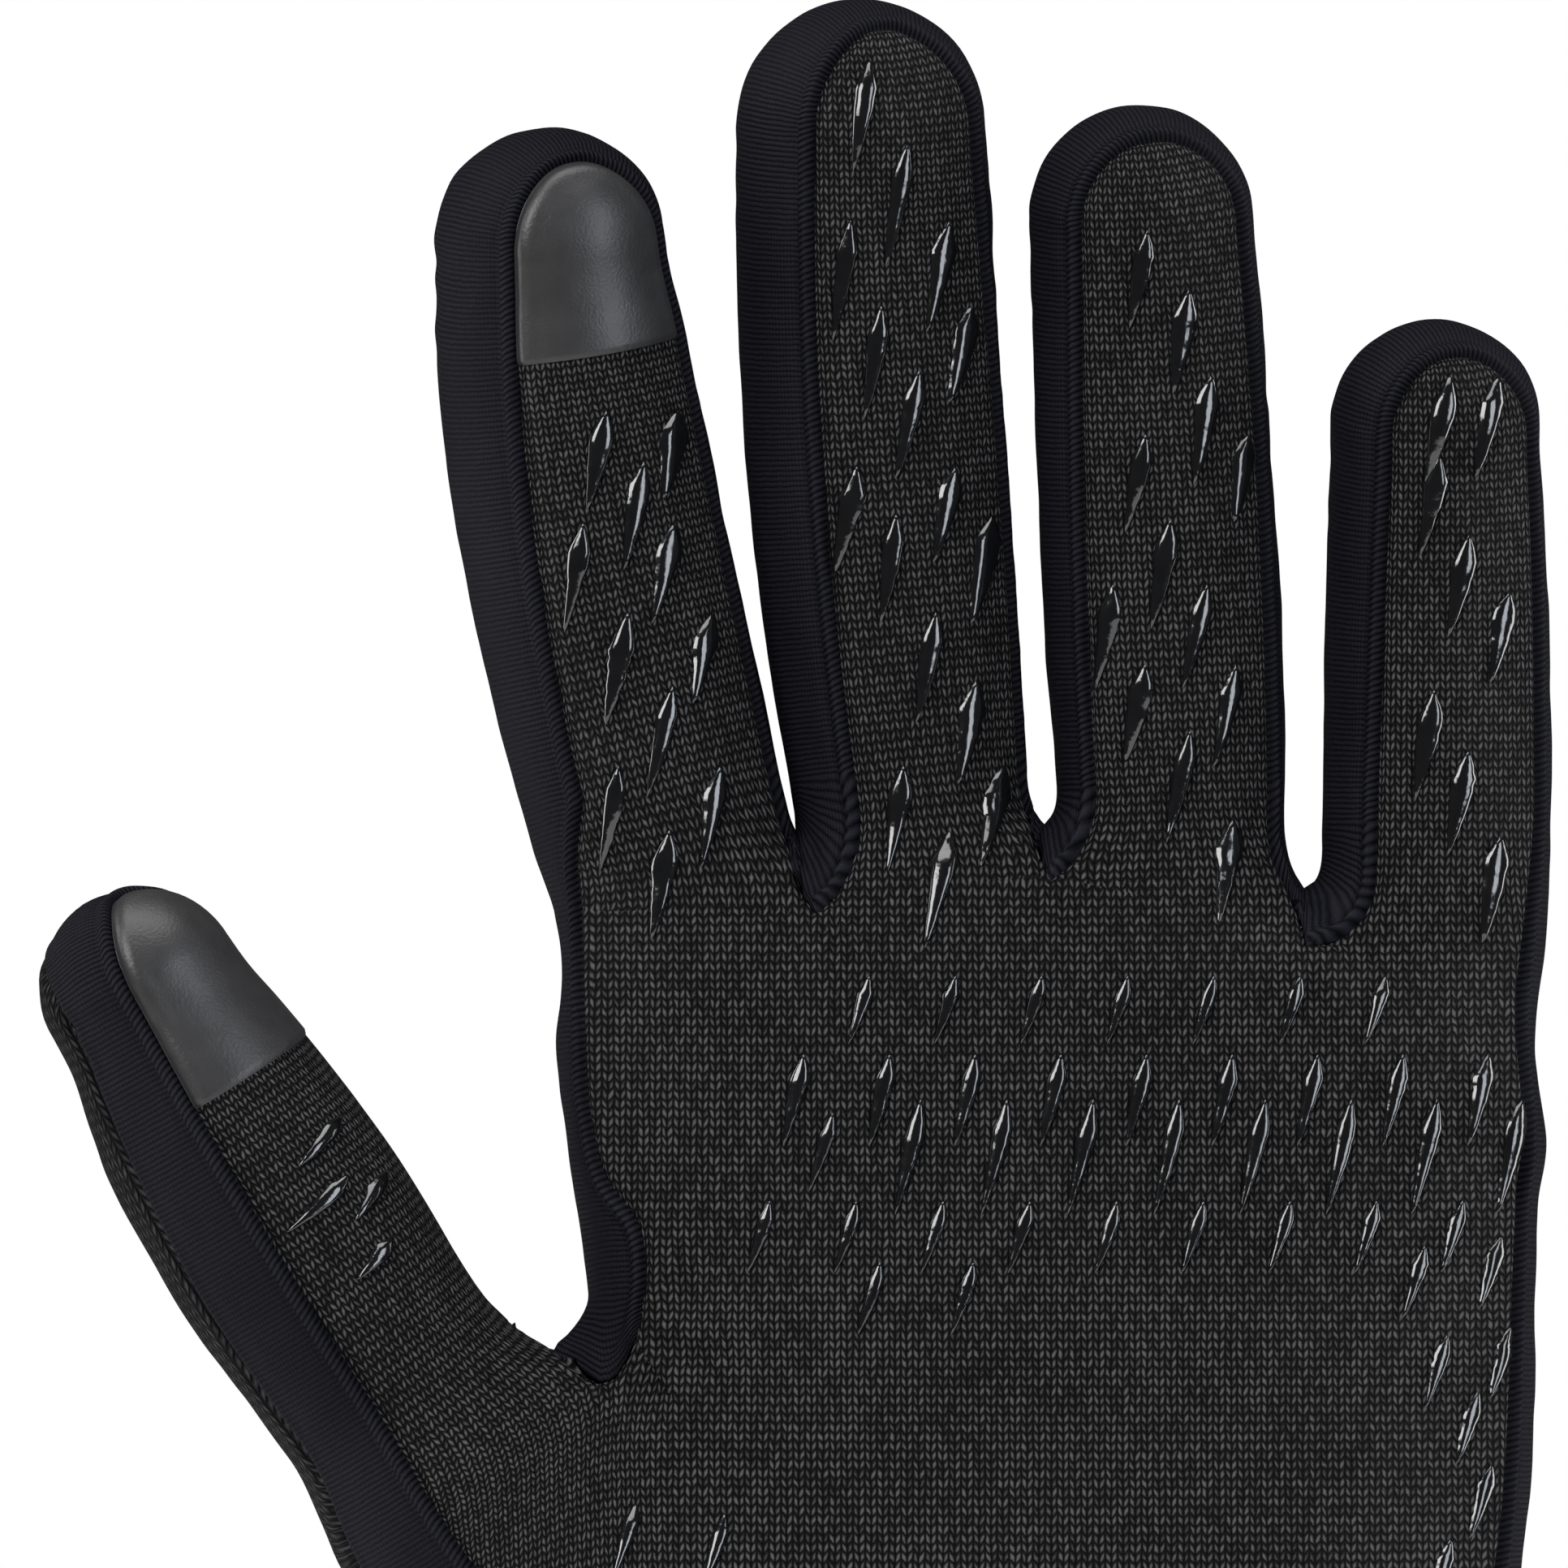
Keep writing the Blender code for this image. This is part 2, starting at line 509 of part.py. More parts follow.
def thumb_edge_grid(low_rows, rows, columns):
    """The gusset down the thumb's outer edge, from its first fold to the wrist."""
    low_angle = mix(*THUMB_WRIST_ANGLES, columns)
    a0, a1 = front_seams("thumb", 0.0)[0], back_seams("thumb", 0.0)[0] - 360
    angle = mix(low_angle, mix(a0, a1, columns), low_rows[:, None])
    s = mix(wrist_reach(low_angle), 0.0, low_rows[:, None])
    edges = [thumb_edge(0, -1, rows), thumb_edge(0, 1, rows)]
    high_angle = mix(edges[0][1][:, None], edges[1][1][:, None], columns)
    top = DIGITS["thumb"]["fold_at"][0] - fold_setback("thumb", 0, high_angle[-1])
    s = np.concatenate([s, mix(0.0, top, rows[1:, None])])
    return ring_points("thumb", s, np.concatenate([angle, high_angle[1:]]))


# ---------------------------------------------------------------- the digits' own panels

def margin(name):
    """Half a seam gap as an angle around a digit."""
    return math.degrees(SEAM_GAP / 2 / DIGITS[name]["radius"][1])


def strip_angles(name, part, s):
    """The two edges of a part of a digit's skin at s, going round from the lower angle."""
    low, high = front_seams(name, s)
    left, right = DIGITS[name]["gussets"]
    return {"front": (low, high), "back": (high + right, low - left + 360),
            "left_gusset": (low - left, low), "right_gusset": (high, high + right)}[part]


def shaft_grid(name, part, low_fold, high_fold, rows, columns):
    """A part of a digit's skin between folds, or from the second fold to the round end."""
    d, m = DIGITS[name], margin(name)
    start = strip_angles(name, part, d["fold_at"][low_fold])
    bottom_angle = mix(start[0] + m, start[1] - m, columns)
    bottom = d["fold_at"][low_fold] + fold_setback(name, low_fold, bottom_angle)
    length = digit_length(name)
    level = length if high_fold is None else d["fold_at"][high_fold]
    stop = strip_angles(name, part, level)
    top_angle = mix(stop[0] + m, stop[1] - m, columns)
    top = length + 0 * top_angle
    if high_fold is not None:
        top = level - fold_setback(name, high_fold, top_angle)
    s = mix(bottom, top, rows[:, None])
    low, high = strip_angles(name, part, s)
    return ring_points(name, s, mix(low + m, high - m, columns))


def arch(half, middle, reach, turn):
    """Angle and rise of a panel's rounded end, at turn from its left foot (0) to its right (180)."""
    c, s = np.cos(np.radians(turn)), np.sin(np.radians(turn))
    return middle - half * np.sign(c) * np.abs(c) ** (2 / ARCH), reach * np.abs(s) ** (2 / ARCH)


def end_arch(name, part):
    """Half width, middle and reach of the front or back panel's rounded end, in degrees."""
    low, high = strip_angles(name, part, digit_length(name))
    return (high - low) / 2, (high + low) / 2, DIGITS[name]["reach"] if part == "front" else BACK_REACH


def cap_grid(name, part, rows, columns):
    """The part of a panel that lies on the digit's round end, under its arch."""
    half, middle, reach = end_arch(name, part)
    u = columns * 2 - 1
    rise = (reach - margin(name)) * (1 - np.abs(u) ** ARCH) ** (1 / ARCH) * rows[:, None]
    return end_points(name, middle + (half - margin(name)) * u + 0 * rise, rise)


def end_strip_grid(name, rows, end_turns, columns):
    """The gusset that runs up one side of a fingertip, over its end and down the other side."""
    m = margin(name)
    left = shaft_grid(name, "left_gusset", 1, None, rows, columns)[:, ::-1]
    right = shaft_grid(name, "right_gusset", 1, None, rows, columns)
    edges = []
    for part, flip in (("front", 1), ("back", -1)):
        half, middle, reach = end_arch(name, part)
        angle, rise = np.radians(arch(half + m, middle, reach + m, end_turns[::flip]))
        level = np.stack([np.cos(angle), np.sin(angle), 0 * angle], -1) * np.cos(rise)[:, None]
        edges.append(level + np.sin(rise)[:, None] * np.array([0.0, 0.0, 1.0]))
    mixed = mix(edges[0][:, None], edges[1][:, None], columns[None, :, None])
    mixed /= np.linalg.norm(mixed, axis=-1, keepdims=True)
    angle, rise = np.arctan2(mixed[..., 1], mixed[..., 0]), np.arcsin(np.clip(mixed[..., 2], -1, 1))
    return np.concatenate([left, end_points(name, np.degrees(angle), np.degrees(rise)), right[::-1]])


def fold_grid(name, fold, columns):
    """The cloth that fills a notch while the digit is straight."""
    d = DIGITS[name]
    roll = THUMB_ROLL if name == "thumb" else 0.0
    angle = roll + mix(-NOTCH_SWEEP, NOTCH_SWEEP, columns)
    reach = fold_setback(name, fold, angle) - SEAM_GAP - 0.15
    return ring_points(name, d["fold_at"][fold] + reach * np.linspace(-1, 1, 4)[:, None], angle)


# ---------------------------------------------------------------- objects

def clear_scene():
    for obj in list(bpy.data.objects):
        bpy.data.objects.remove(obj, do_unlink=True)


def material(name, colour, roughness):
    made = bpy.data.materials.new(name)
    made.use_nodes = True
    shader = made.node_tree.nodes["Principled BSDF"]
    shader.inputs["Base Color"].default_value = (*colour, 1.0)
    shader.inputs["Roughness"].default_value = roughness
    return made


def inset(grid, amount, axis):
    """Draws a grid's first and last rows (axis 0) or columns (axis 1) in by amount."""
    grid = np.moveaxis(grid.copy(), axis, 0)
    for edge, inner in ((0, 1), (-1, -2)):
        inward = grid[inner] - grid[edge]
        grid[edge] += inward / np.linalg.norm(inward, axis=-1, keepdims=True) * amount
    return np.moveaxis(grid, 0, axis)


def shell_object(name, grids, wall, look, collection, inside, pivot=(ORIGIN_X, 0, 0), offset=-1.0):
    """A fabric piece: grids of surface points joined where they meet, facing away from a point inside
    the glove, and given a wall inwards. A moving piece has its origin at its pivot."""
    mesh = bmesh.new()
    shift = np.asarray(pivot, float)
    for grid in grids:
        rows, columns = grid.shape[:2]
        verts = [[mesh.verts.new(tuple((p - shift) * MM)) for p in row] for row in grid]
        for i in range(rows - 1):
            for j in range(columns - 1):
                mesh.faces.new((verts[i][j], verts[i][j + 1], verts[i + 1][j + 1], verts[i + 1][j]))
    bmesh.ops.remove_doubles(mesh, verts=mesh.verts, dist=0.1 * MM)
    bmesh.ops.dissolve_degenerate(mesh, edges=mesh.edges, dist=0.05 * MM)
    bmesh.ops.recalc_face_normals(mesh, faces=mesh.faces)
    middle = (np.asarray(inside, float) - shift) * MM
    if sum(np.dot(f.normal, np.array(f.calc_center_median()) - middle) for f in mesh.faces) < 0:
        bmesh.ops.reverse_faces(mesh, faces=mesh.faces)
    data = bpy.data.meshes.new(name)
    mesh.to_mesh(data)
    mesh.free()
    data.materials.append(look)
    obj = bpy.data.objects.new(name, data)
    obj.location = [(v - home) * MM for v, home in zip(pivot, (ORIGIN_X, 0, 0))]
    collection.objects.link(obj)
    solid = obj.modifiers.new("Solidify", "SOLIDIFY")
    solid.thickness = wall * MM
    solid.offset = offset
    solid.use_even_offset = False


def hand_panels(looks, collection):
    """The palm panel and the hand's back panel, with their parts of the fingers up to the first folds."""
    for name, facing, look in (("palm_front", -1, looks["front"]), ("hand_back", 1, looks["back"])):
        grids = [palm_block(facing, COLLAR_COLUMNS), thumb_block(facing, LOW_ROWS, COLLAR_COLUMNS),
                 collar_grid("thumb", facing, THUMB_ROWS, COLLAR_COLUMNS)]
        grids += [collar_grid(f, facing, COLLAR_ROWS, COLLAR_COLUMNS) for f in FINGERS]
        for grid in grids[:2]:
            grid[0, :, 2] += SEAM_GAP / 2
        shell_object(name, grids, FABRIC, look, collection, (0.0, 0.0, 110.0))


def hand_gussets(look, collection):
    """The webs between the fingers and the gussets along the hand's edges."""
    for left, right in zip(FINGERS[:-1], FINGERS[1:]):
        strip = inset(web_grid(left, right, COLLAR_ROWS, STRIP_COLUMNS), WEB_GAP, 1)
        foot = slice(len(COLLAR_ROWS) - 3, len(COLLAR_ROWS) + 2)
        strip[foot] = inset(strip[foot], 3.2 * WEB_GAP, 1)
        x, z = CROTCHES_FRONT[FINGERS.index(right)]
        shell_object(f"{left}_{right}_web", [strip], FABRIC, look, collection, (x, 0.0, z - 15))
    columns = np.array([0, 0.4, 1])
    index_side, thumb_side = thumb_web_grids(HIGH_ROWS, COLLAR_ROWS, columns)
    index_side, narrow = inset(index_side, WEB_GAP, 1), inset(thumb_side, WEB_GAP, 1)
    narrow[0] = index_side[0, 2:]
    shell_object("thumb_index_web", [index_side, narrow], FABRIC, look, collection, (-25.0, 0.0, 145.0))
    for name, grid, inside in (
        ("little_edge_gusset", little_edge_grid(np.linspace(0, 1, 8), COLLAR_ROWS, STRIP_COLUMNS), (20, 0, 110)),
        ("thumb_edge_gusset", thumb_edge_grid(LOW_ROWS, COLLAR_ROWS, STRIP_COLUMNS), (-30, 0, 90)),
    ):
        grid = inset(grid, SEAM_GAP, 1)
        grid[0, :, 2] += SEAM_GAP / 2
        shell_object(name, [grid], FABRIC, look, collection, inside)


def digit_panels(name, looks, collection):
    """The panels of a digit between its two folds and beyond the second, and the folds' own cloth."""
    rows = np.linspace(0, 1, 4)
    pivots = digit_point(name, DIGITS[name]["fold_at"])
    inside = pivots[1]
    for part in ("front", "back", "left_gusset", "right_gusset"):
        columns = STRIP_COLUMNS if "gusset" in part else PANEL_COLUMNS
        grid = shaft_grid(name, part, 0, 1, rows, columns)
        look = looks[part.split("_")[-1]]
        shell_object(f"{name}_base_{part}", [grid], FABRIC, look, collection, inside, pivots[0])
    for part in ("front", "back"):
        shaft = shaft_grid(name, part, 1, None, rows, PANEL_COLUMNS)
        cap = cap_grid(name, part, np.linspace(0, 1, 5), PANEL_COLUMNS)
        grid = np.concatenate([shaft, cap[1:]])
        shell_object(f"{name}_tip_{part}", [grid], FABRIC, looks[part], collection, inside, pivots[1])
    strip = end_strip_grid(name, rows, np.linspace(0, 180, 13)[1:-1], STRIP_COLUMNS)
    shell_object(f"{name}_tip_gusset", [strip], FABRIC, looks["gusset"], collection, inside, pivots[1])
    for fold, label in enumerate(("base_fold", "middle_fold")):
        grid = fold_grid(name, fold, np.linspace(0, 1, 11))
        shell_object(f"{name}_{label}", [grid], FABRIC, looks["front"], collection, inside, pivots[fold])


def touch_pad(name, look, collection):
    """The smooth conductive film on a fingertip's front panel."""
    length = digit_length(name)
    low, high = front_seams(name, length)
    s = mix(length - PAD_BELOW_END[name], length, np.linspace(0, 1, 3))[:, None]
    shaft = ring_points(name, s, mix(low + 5.0, high - 5.0, PANEL_COLUMNS))
    half, middle, reach = end_arch(name, "front")
    u = PANEL_COLUMNS * 2 - 1
    rise = (reach - 6.0) * (1 - np.abs(u) ** ARCH) ** (1 / ARCH) * np.linspace(0, 1, 5)[1:, None]
    grid = np.concatenate([shaft, end_points(name, middle + (half - 5.0) * u + 0 * rise, rise)])
    inside = digit_point(name, length - PAD_BELOW_END[name])
    away = grid - digit_point(name, np.minimum(digit_coordinates(name, grid)[0], length))
    grid = grid + away / np.linalg.norm(away, axis=-1, keepdims=True) * PAD_LIFT
    pivot = digit_point(name, DIGITS[name]["fold_at"][1])
    shell_object(f"{name}_touch_pad", [grid], PAD_WALL, look, collection, inside, pivot, 1.0)


def tube_grid(low, high, rows, columns, grow=0.0, straight=False):
    """A closed ring of the wrist's section, between two heights of the cuff. A straight one has
    upright walls, of the section at its top."""
    z = np.linspace(low, high, rows + 1)[:, None]
    section = np.full_like(z, high) if straight else z
    angle = np.linspace(0, 2 * math.pi, columns + 1)[None, :]
    n = smooth_steps(section, PALM_Z, PALM_SQUARENESS)
    c, s = np.cos(angle), np.sin(angle)
    width = smooth_steps(section, PALM_Z, PALM_HALF_WIDTH) + grow
    depth = smooth_steps(section, PALM_Z, PALM_HALF_DEPTH) + grow
    x = smooth_steps(section, PALM_Z, PALM_CENTRE) + width * np.sign(c) * np.abs(c) ** (2 / n)
    return np.stack([x, depth * np.sign(s) * np.abs(s) ** (2 / n), z + 0 * angle], axis=-1)


def cuff(looks, collection):
    """The cuff's band, its folded hem, the elastic inside the wrist and the care label."""
    inside = (1.0, 0.0, 30.0)
    band = tube_grid(HEM_HEIGHT + SEAM_GAP, WRIST_Z - SEAM_GAP / 2, 4, 32)
    shell_object("cuff_band", [band], CUFF_WALL, looks["gusset"], collection, inside)
    hem = tube_grid(0.0, HEM_HEIGHT, 1, 32, 0.5, straight=True)
    shell_object("cuff_hem", [hem], HEM_WALL, looks["gusset"], collection, inside)
    middle = WRIST_Z - 8.0
    elastic = tube_grid(middle - ELASTIC_HEIGHT / 2, middle + ELASTIC_HEIGHT / 2, 1, 32, -CUFF_WALL - SEAM_GAP)
    shell_object("wrist_elastic", [elastic], ELASTIC_WALL, looks["elastic"], collection, inside)
    depth = float(smooth_steps(30.0, PALM_Z, PALM_HALF_DEPTH))
    bpy.ops.mesh.primitive_cube_add(size=1)
    label = bpy.context.active_object
    label.name = label.data.name = "care_label"
    label.scale = [v * MM for v in LABEL_SIZE]
    label.location = ((1.0 - ORIGIN_X) * MM, (depth - CUFF_WALL - 2.6) * MM, 32.0 * MM)
    bpy.ops.object.transform_apply(location=False, rotation=False, scale=True)
    label.data.materials.append(looks["label"])
    for owner in list(label.users_collection):
        owner.objects.unlink(label)
    collection.objects.link(label)


def main():
    clear_scene()
    collection = bpy.data.collections.new("touchscreen_glove")
    bpy.context.scene.collection.children.link(collection)
    looks = {
        "front": material("palm_knit", (0.032, 0.032, 0.033), 0.75),
        "back": material("back_knit", (0.026, 0.026, 0.027), 0.8),
        "gusset": material("stretch_rib", (0.009, 0.010, 0.014), 0.7),
        "pad": material("touch_film", (0.055, 0.055, 0.058), 0.45),
        "elastic": material("elastic_webbing", (0.02, 0.02, 0.022), 0.8),
        "label": material("label_satin", (0.75, 0.74, 0.71), 0.5),
    }
    hand_panels(looks, collection)
    hand_gussets(looks["gusset"], collection)
    for name in DIGITS:
        digit_panels(name, looks, collection)
    for name in PAD_BELOW_END:
        touch_pad(name, looks["pad"], collection)
    cuff(looks, collection)


if __name__ == "__main__":
    main()
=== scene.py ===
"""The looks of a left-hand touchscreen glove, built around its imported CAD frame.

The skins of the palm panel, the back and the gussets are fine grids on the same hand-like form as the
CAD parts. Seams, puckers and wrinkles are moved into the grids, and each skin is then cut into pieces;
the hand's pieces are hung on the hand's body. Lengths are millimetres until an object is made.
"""

import functools
import math

import bpy
import numpy as np
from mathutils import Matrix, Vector, bvhtree, kdtree


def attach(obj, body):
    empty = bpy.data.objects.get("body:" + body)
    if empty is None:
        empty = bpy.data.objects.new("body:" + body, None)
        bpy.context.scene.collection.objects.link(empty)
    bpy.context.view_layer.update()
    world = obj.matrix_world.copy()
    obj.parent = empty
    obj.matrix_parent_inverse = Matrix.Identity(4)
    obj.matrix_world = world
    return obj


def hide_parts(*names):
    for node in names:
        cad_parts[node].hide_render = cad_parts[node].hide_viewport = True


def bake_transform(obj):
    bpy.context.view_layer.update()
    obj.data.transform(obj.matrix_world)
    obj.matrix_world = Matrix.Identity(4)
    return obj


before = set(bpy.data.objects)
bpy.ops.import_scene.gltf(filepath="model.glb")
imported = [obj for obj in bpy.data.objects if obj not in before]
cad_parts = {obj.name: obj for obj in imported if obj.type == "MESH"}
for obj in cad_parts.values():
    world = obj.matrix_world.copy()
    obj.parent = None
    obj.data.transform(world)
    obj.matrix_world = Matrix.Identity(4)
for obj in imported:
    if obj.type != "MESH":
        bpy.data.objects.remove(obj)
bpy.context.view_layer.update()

MM = 0.001
ORIGIN_X = -22.31

PALM_Z = (-10.0, 30.0, 60.0, 80.0, 100.0, 130.0, 150.0, 175.0)
PALM_CENTRE = (1.0, 1.0, 1.0, 2.0, 2.6, 1.6, 0.4, -0.3)
PALM_HALF_WIDTH = (37.5, 36.0, 36.0, 39.0, 42.4, 44.8, 46.4, 47.6)
PALM_HALF_DEPTH = (26.0, 25.0, 23.5, 21.0, 18.5, 16.0, 14.3, 13.0)
PALM_SQUARENESS = (2.1, 2.1, 2.15, 2.3, 2.5, 2.7, 2.8, 2.8)
PALM_TOP, PALM_TOP_FALL, PALM_TOP_ROUNDING = 169.5, (0.0045, 0.0085), 12.0
THENAR_FOOT, THENAR_TOP, THENAR_RADIUS = (-24.0, -4.0, 80.0), (-53.4, -5.5, 106.0), (15.0, 12.6)
THENAR_BLEND = 9.0
WRIST_Z = 60.0

DIGITS = {
    "thumb": dict(base=(-58.2, -6.0, 113.0), bend=(-72.9, -8.0, 134.8), tip=(-84.7, -9.5, 155.0),
                  radius=(11.3, 12.3, 9.2), left=(-11, -3), right=(100, 105), gussets=(50, 24), reach=68,
                  fold_at=(15.0, 34.0), blend=6.0, sink=0.0),
    "index": dict(base=(-33.9, 0.0, 163.0), bend=(-44.1, 1.5, 198.6), tip=(-46.3, -4.0, 225.2),
                  radius=(11.6, 12.5, 10.6), left=(-38, -20), right=(70, 72), gussets=(75, 62), reach=54,
                  fold_at=(16.0, 42.0), blend=5.0, sink=2.5),
    "middle": dict(base=(-11.5, 0.0, 165.0), bend=(-16.6, 1.5, 204.2), tip=(-17.1, -4.0, 236.3),
                   radius=(10.4, 12.3, 11.6), left=(-30, -25), right=(76, 66), gussets=(78, 62), reach=61,
                   fold_at=(16.0, 46.0), blend=5.0, sink=2.5),
    "ring": dict(base=(12.6, 0.0, 164.0), bend=(11.0, 1.5, 196.6), tip=(9.1, -4.0, 227.6),
                 radius=(10.1, 11.2, 10.4), left=(-49, -37), right=(62, 64), gussets=(70, 68), reach=54,
                 fold_at=(16.0, 42.0), blend=5.0, sink=2.5),
    "little": dict(base=(37.0, 0.0, 160.5), bend=(37.2, 1.5, 185.0), tip=(36.9, -3.5, 208.0),
                   radius=(10.3, 10.6, 9.8), left=(-38, -30), right=(62, 64), gussets=(72, 68), reach=55,
                   fold_at=(16.0, 35.0), blend=5.0, sink=2.5),
}
FINGERS = ("index", "middle", "ring", "little")
PAD_BELOW_END = {"index": 11.6, "thumb": 12.4}  # from the round end's start down to the pad's edge
DEPTH_RATIO = 0.92
ARCH = 2.3
BACK_REACH = 57.0
WEB_LENGTH = 7.5
COLLAR_TOP = {"thumb": 8.0, "index": 10.0, "middle": 10.0, "ring": 10.0, "little": 10.0}

CROTCHES_FRONT = ((-43.7, 162.7), (-22.4, 162.4), (0.9, 165.6), (25.4, 159.4), (45.2, 159.0))
CROTCHES_BACK = ((-44.2, 162.0), (-23.2, 164.0), (0.7, 166.6), (25.4, 160.8), (45.6, 159.0))
PALM_SEAM_FRONT = ((-38.4, 122.6), (-37.5, 128.3), (-38.2, 133.0), (-41.3, 137.2), (-42.8, 143.0),
                   (-43.4, 152.0))
PALM_SEAM_BACK = ((-39.8, 121.0), (-40.4, 133.0), (-42.0, 148.0), (-43.4, 154.5))
THUMB_ROOT, THUMB_TURN, THUMB_SADDLE = (-37.0, -4.0, 111.0), (-43.5, -10.0, 121.8), (-47.0, -4.0, 121.6)
THUMB_FOOT = -22.0
THUMB_STATIONS = (0.0, 0.1, 0.2, 0.55, 1.0)
THUMB_WRIST_ANGLES = (-27.0, -60.0)
DIVIDER_ANGLES = (35.0, -206.0)
OUTER_SEAM_ANGLES = (62.0, 118.0)


# ---------------------------------------------------------------- the form

def smooth_steps(x, at, values):
    """Values between the stations of a profile, on a smooth curve through them."""
    at, values = np.asarray(at, float), np.asarray(values, float)
    slopes = np.gradient(values, at)
    x = np.clip(x, at[0], at[-1])
    i = np.clip(np.searchsorted(at, x) - 1, 0, len(at) - 2)
    h = at[i + 1] - at[i]
    t = (x - at[i]) / h
    return (values[i] * (1 + 2 * t) * (1 - t) ** 2 + slopes[i] * h * t * (1 - t) ** 2
            + values[i + 1] * t * t * (3 - 2 * t) + slopes[i + 1] * h * t * t * (t - 1))


def mix(a, b, t):
    return a * (1 - t) + b * t


def smoothstep(x, low, high):
    t = np.clip((x - low) / (high - low), 0, 1)
    return t * t * (3 - 2 * t)


def unit(v):
    return v / np.maximum(np.linalg.norm(v, axis=-1, keepdims=True), 1e-12)


def smooth_min(a, b, k):
    h = np.maximum(k - np.abs(a - b), 0) / k
    return np.minimum(a, b) - h * h * k / 4


def palm_field(p):
    x, y, z = p[..., 0], p[..., 1], p[..., 2]
    half_width = smooth_steps(z, PALM_Z, PALM_HALF_WIDTH)
    half_depth = smooth_steps(z, PALM_Z, PALM_HALF_DEPTH)
    n = smooth_steps(z, PALM_Z, PALM_SQUARENESS)
    across = np.abs(x - smooth_steps(z, PALM_Z, PALM_CENTRE)) / half_width
    side = ((across ** n + (np.abs(y) / half_depth) ** n + 1e-12) ** (1 / n) - 1) * half_depth
    top = z - (PALM_TOP - np.where(x < 0, *PALM_TOP_FALL) * x * x)
    return -smooth_min(-side, -top, PALM_TOP_ROUNDING)


@functools.cache
def digit_length(name):
    d = DIGITS[name]
    return float(np.linalg.norm(np.subtract(d["tip"], d["base"])))


def digit_point(name, s):
    """The digit's middle line at s millimetres from its base, straight beyond its ends."""
    base, bend, tip = (np.array(DIGITS[name][k], float) for k in ("base", "bend", "tip"))
    t = np.asarray(s, float)[..., None] / digit_length(name)
    inside = np.clip(t, 0, 1)
    on_curve = (1 - inside) ** 2 * base + 2 * inside * (1 - inside) * bend + inside ** 2 * tip
    return on_curve + np.minimum(t, 0) * 2 * (bend - base) + np.maximum(t - 1, 0) * 2 * (tip - bend)


def digit_frame(name, s):
    """Unit vectors along the digit, towards its front (-Y) and to its side (+X)."""
    s = np.asarray(s, float)
    along = unit(digit_point(name, s + 0.5) - digit_point(name, s - 0.5))
    front = unit(np.array([0.0, -1.0, 0.0]) + along * along[..., 1:2])
    return along, front, np.cross(along, front)


def digit_field(name, p):
    radius, length = DIGITS[name]["radius"], digit_length(name)
    low = -0.35 * length
    stations = np.linspace(low, length, 9)
    squash = np.array([1.0, 1.0 / DEPTH_RATIO, 1.0])
    points, q = digit_point(name, stations) * squash, p * squash
    nearest, s = np.full(p.shape[:-1], np.inf), np.zeros(p.shape[:-1])
    for a, b, sa, sb in zip(points[:-1], points[1:], stations[:-1], stations[1:]):
        t = np.clip(((q - a) @ (b - a)) / ((b - a) @ (b - a)), 0, 1)
        away = q - a - t[..., None] * (b - a)
        distance = (away * away).sum(-1)
        s = np.where(distance < nearest, mix(sa, sb, t), s)
        nearest = np.minimum(nearest, distance)
    for _ in range(2):
        here, ahead = digit_point(name, s) * squash, digit_point(name, s + 0.5) * squash
        slope = (ahead - here) / 0.5
        s = np.clip(s + ((q - here) * slope).sum(-1) / (slope * slope).sum(-1), low, length)
    away = np.linalg.norm(q - digit_point(name, s) * squash, axis=-1)
    end = radius[2] + np.array([0.42, 0.13, 0.05]) * (radius[1] - radius[2])
    profile = (radius[0] - DIGITS[name]["sink"], radius[0], radius[1], *end)
    return away - smooth_steps(s, (low, 0, length / 2, length - 8, length - 3, length), profile)


def thenar_field(p):
    a, b = np.array(THENAR_FOOT), np.array(THENAR_TOP)
    t = np.clip(((p - a) @ (b - a)) / ((b - a) @ (b - a)), 0, 1)
    return np.linalg.norm(p - a - t[..., None] * (b - a), axis=-1) - mix(*THENAR_RADIUS, t)


def form_field(p, name=None):
    """Negative inside the glove's form, or inside the palm with one digit alone."""
    palm = smooth_min(palm_field(p), thenar_field(p), THENAR_BLEND)
    digits = (name,) if name else DIGITS
    return np.minimum.reduce([smooth_min(palm, digit_field(d, p), DIGITS[d]["blend"]) for d in digits])


def settle(points, name=None, steps=5):
    """Points moved straight onto the form's surface from near it."""
    p = np.array(points, float)
    for _ in range(steps):
        value = form_field(p, name)
        slope = np.stack([form_field(p + e, name) - value for e in np.eye(3) * 0.02], axis=-1) / 0.02
        shift = (value / np.maximum((slope * slope).sum(-1), 0.2))[..., None] * slope
        p -= shift * np.minimum(1, 3.0 / np.maximum(np.linalg.norm(shift, axis=-1, keepdims=True), 1e-9))
    return p


def cast(origins, directions, name=None, reach=60.0):
    """The points where rays from inside leave the form."""
    directions = unit(directions)
    near, far = np.zeros(origins.shape[:-1]), np.full(origins.shape[:-1], reach)
    found = np.zeros(origins.shape[:-1], bool)
    steps = np.linspace(0, reach, 31)
    for before, after in zip(steps[:-1], steps[1:]):
        out = ~found & (form_field(origins + directions * after, name) > 0)
        near, far = np.where(out, before, near), np.where(out, after, far)
        found |= out
        if found.all():
            break
    for _ in range(12):
        middle = (near + far) / 2
        out = form_field(origins + directions * middle[..., None], name) > 0
        near, far = np.where(out, near, middle), np.where(out, middle, far)
    return origins + directions * ((near + far) / 2)[..., None]


def exact_ring_points(name, s, angle):
    s, angle = np.broadcast_arrays(np.asarray(s, float), np.radians(np.asarray(angle, float)))
    _, front, side = digit_frame(name, s)
    directions = np.cos(angle)[..., None] * front + np.sin(angle)[..., None] * side
    return cast(digit_point(name, s), directions, name)


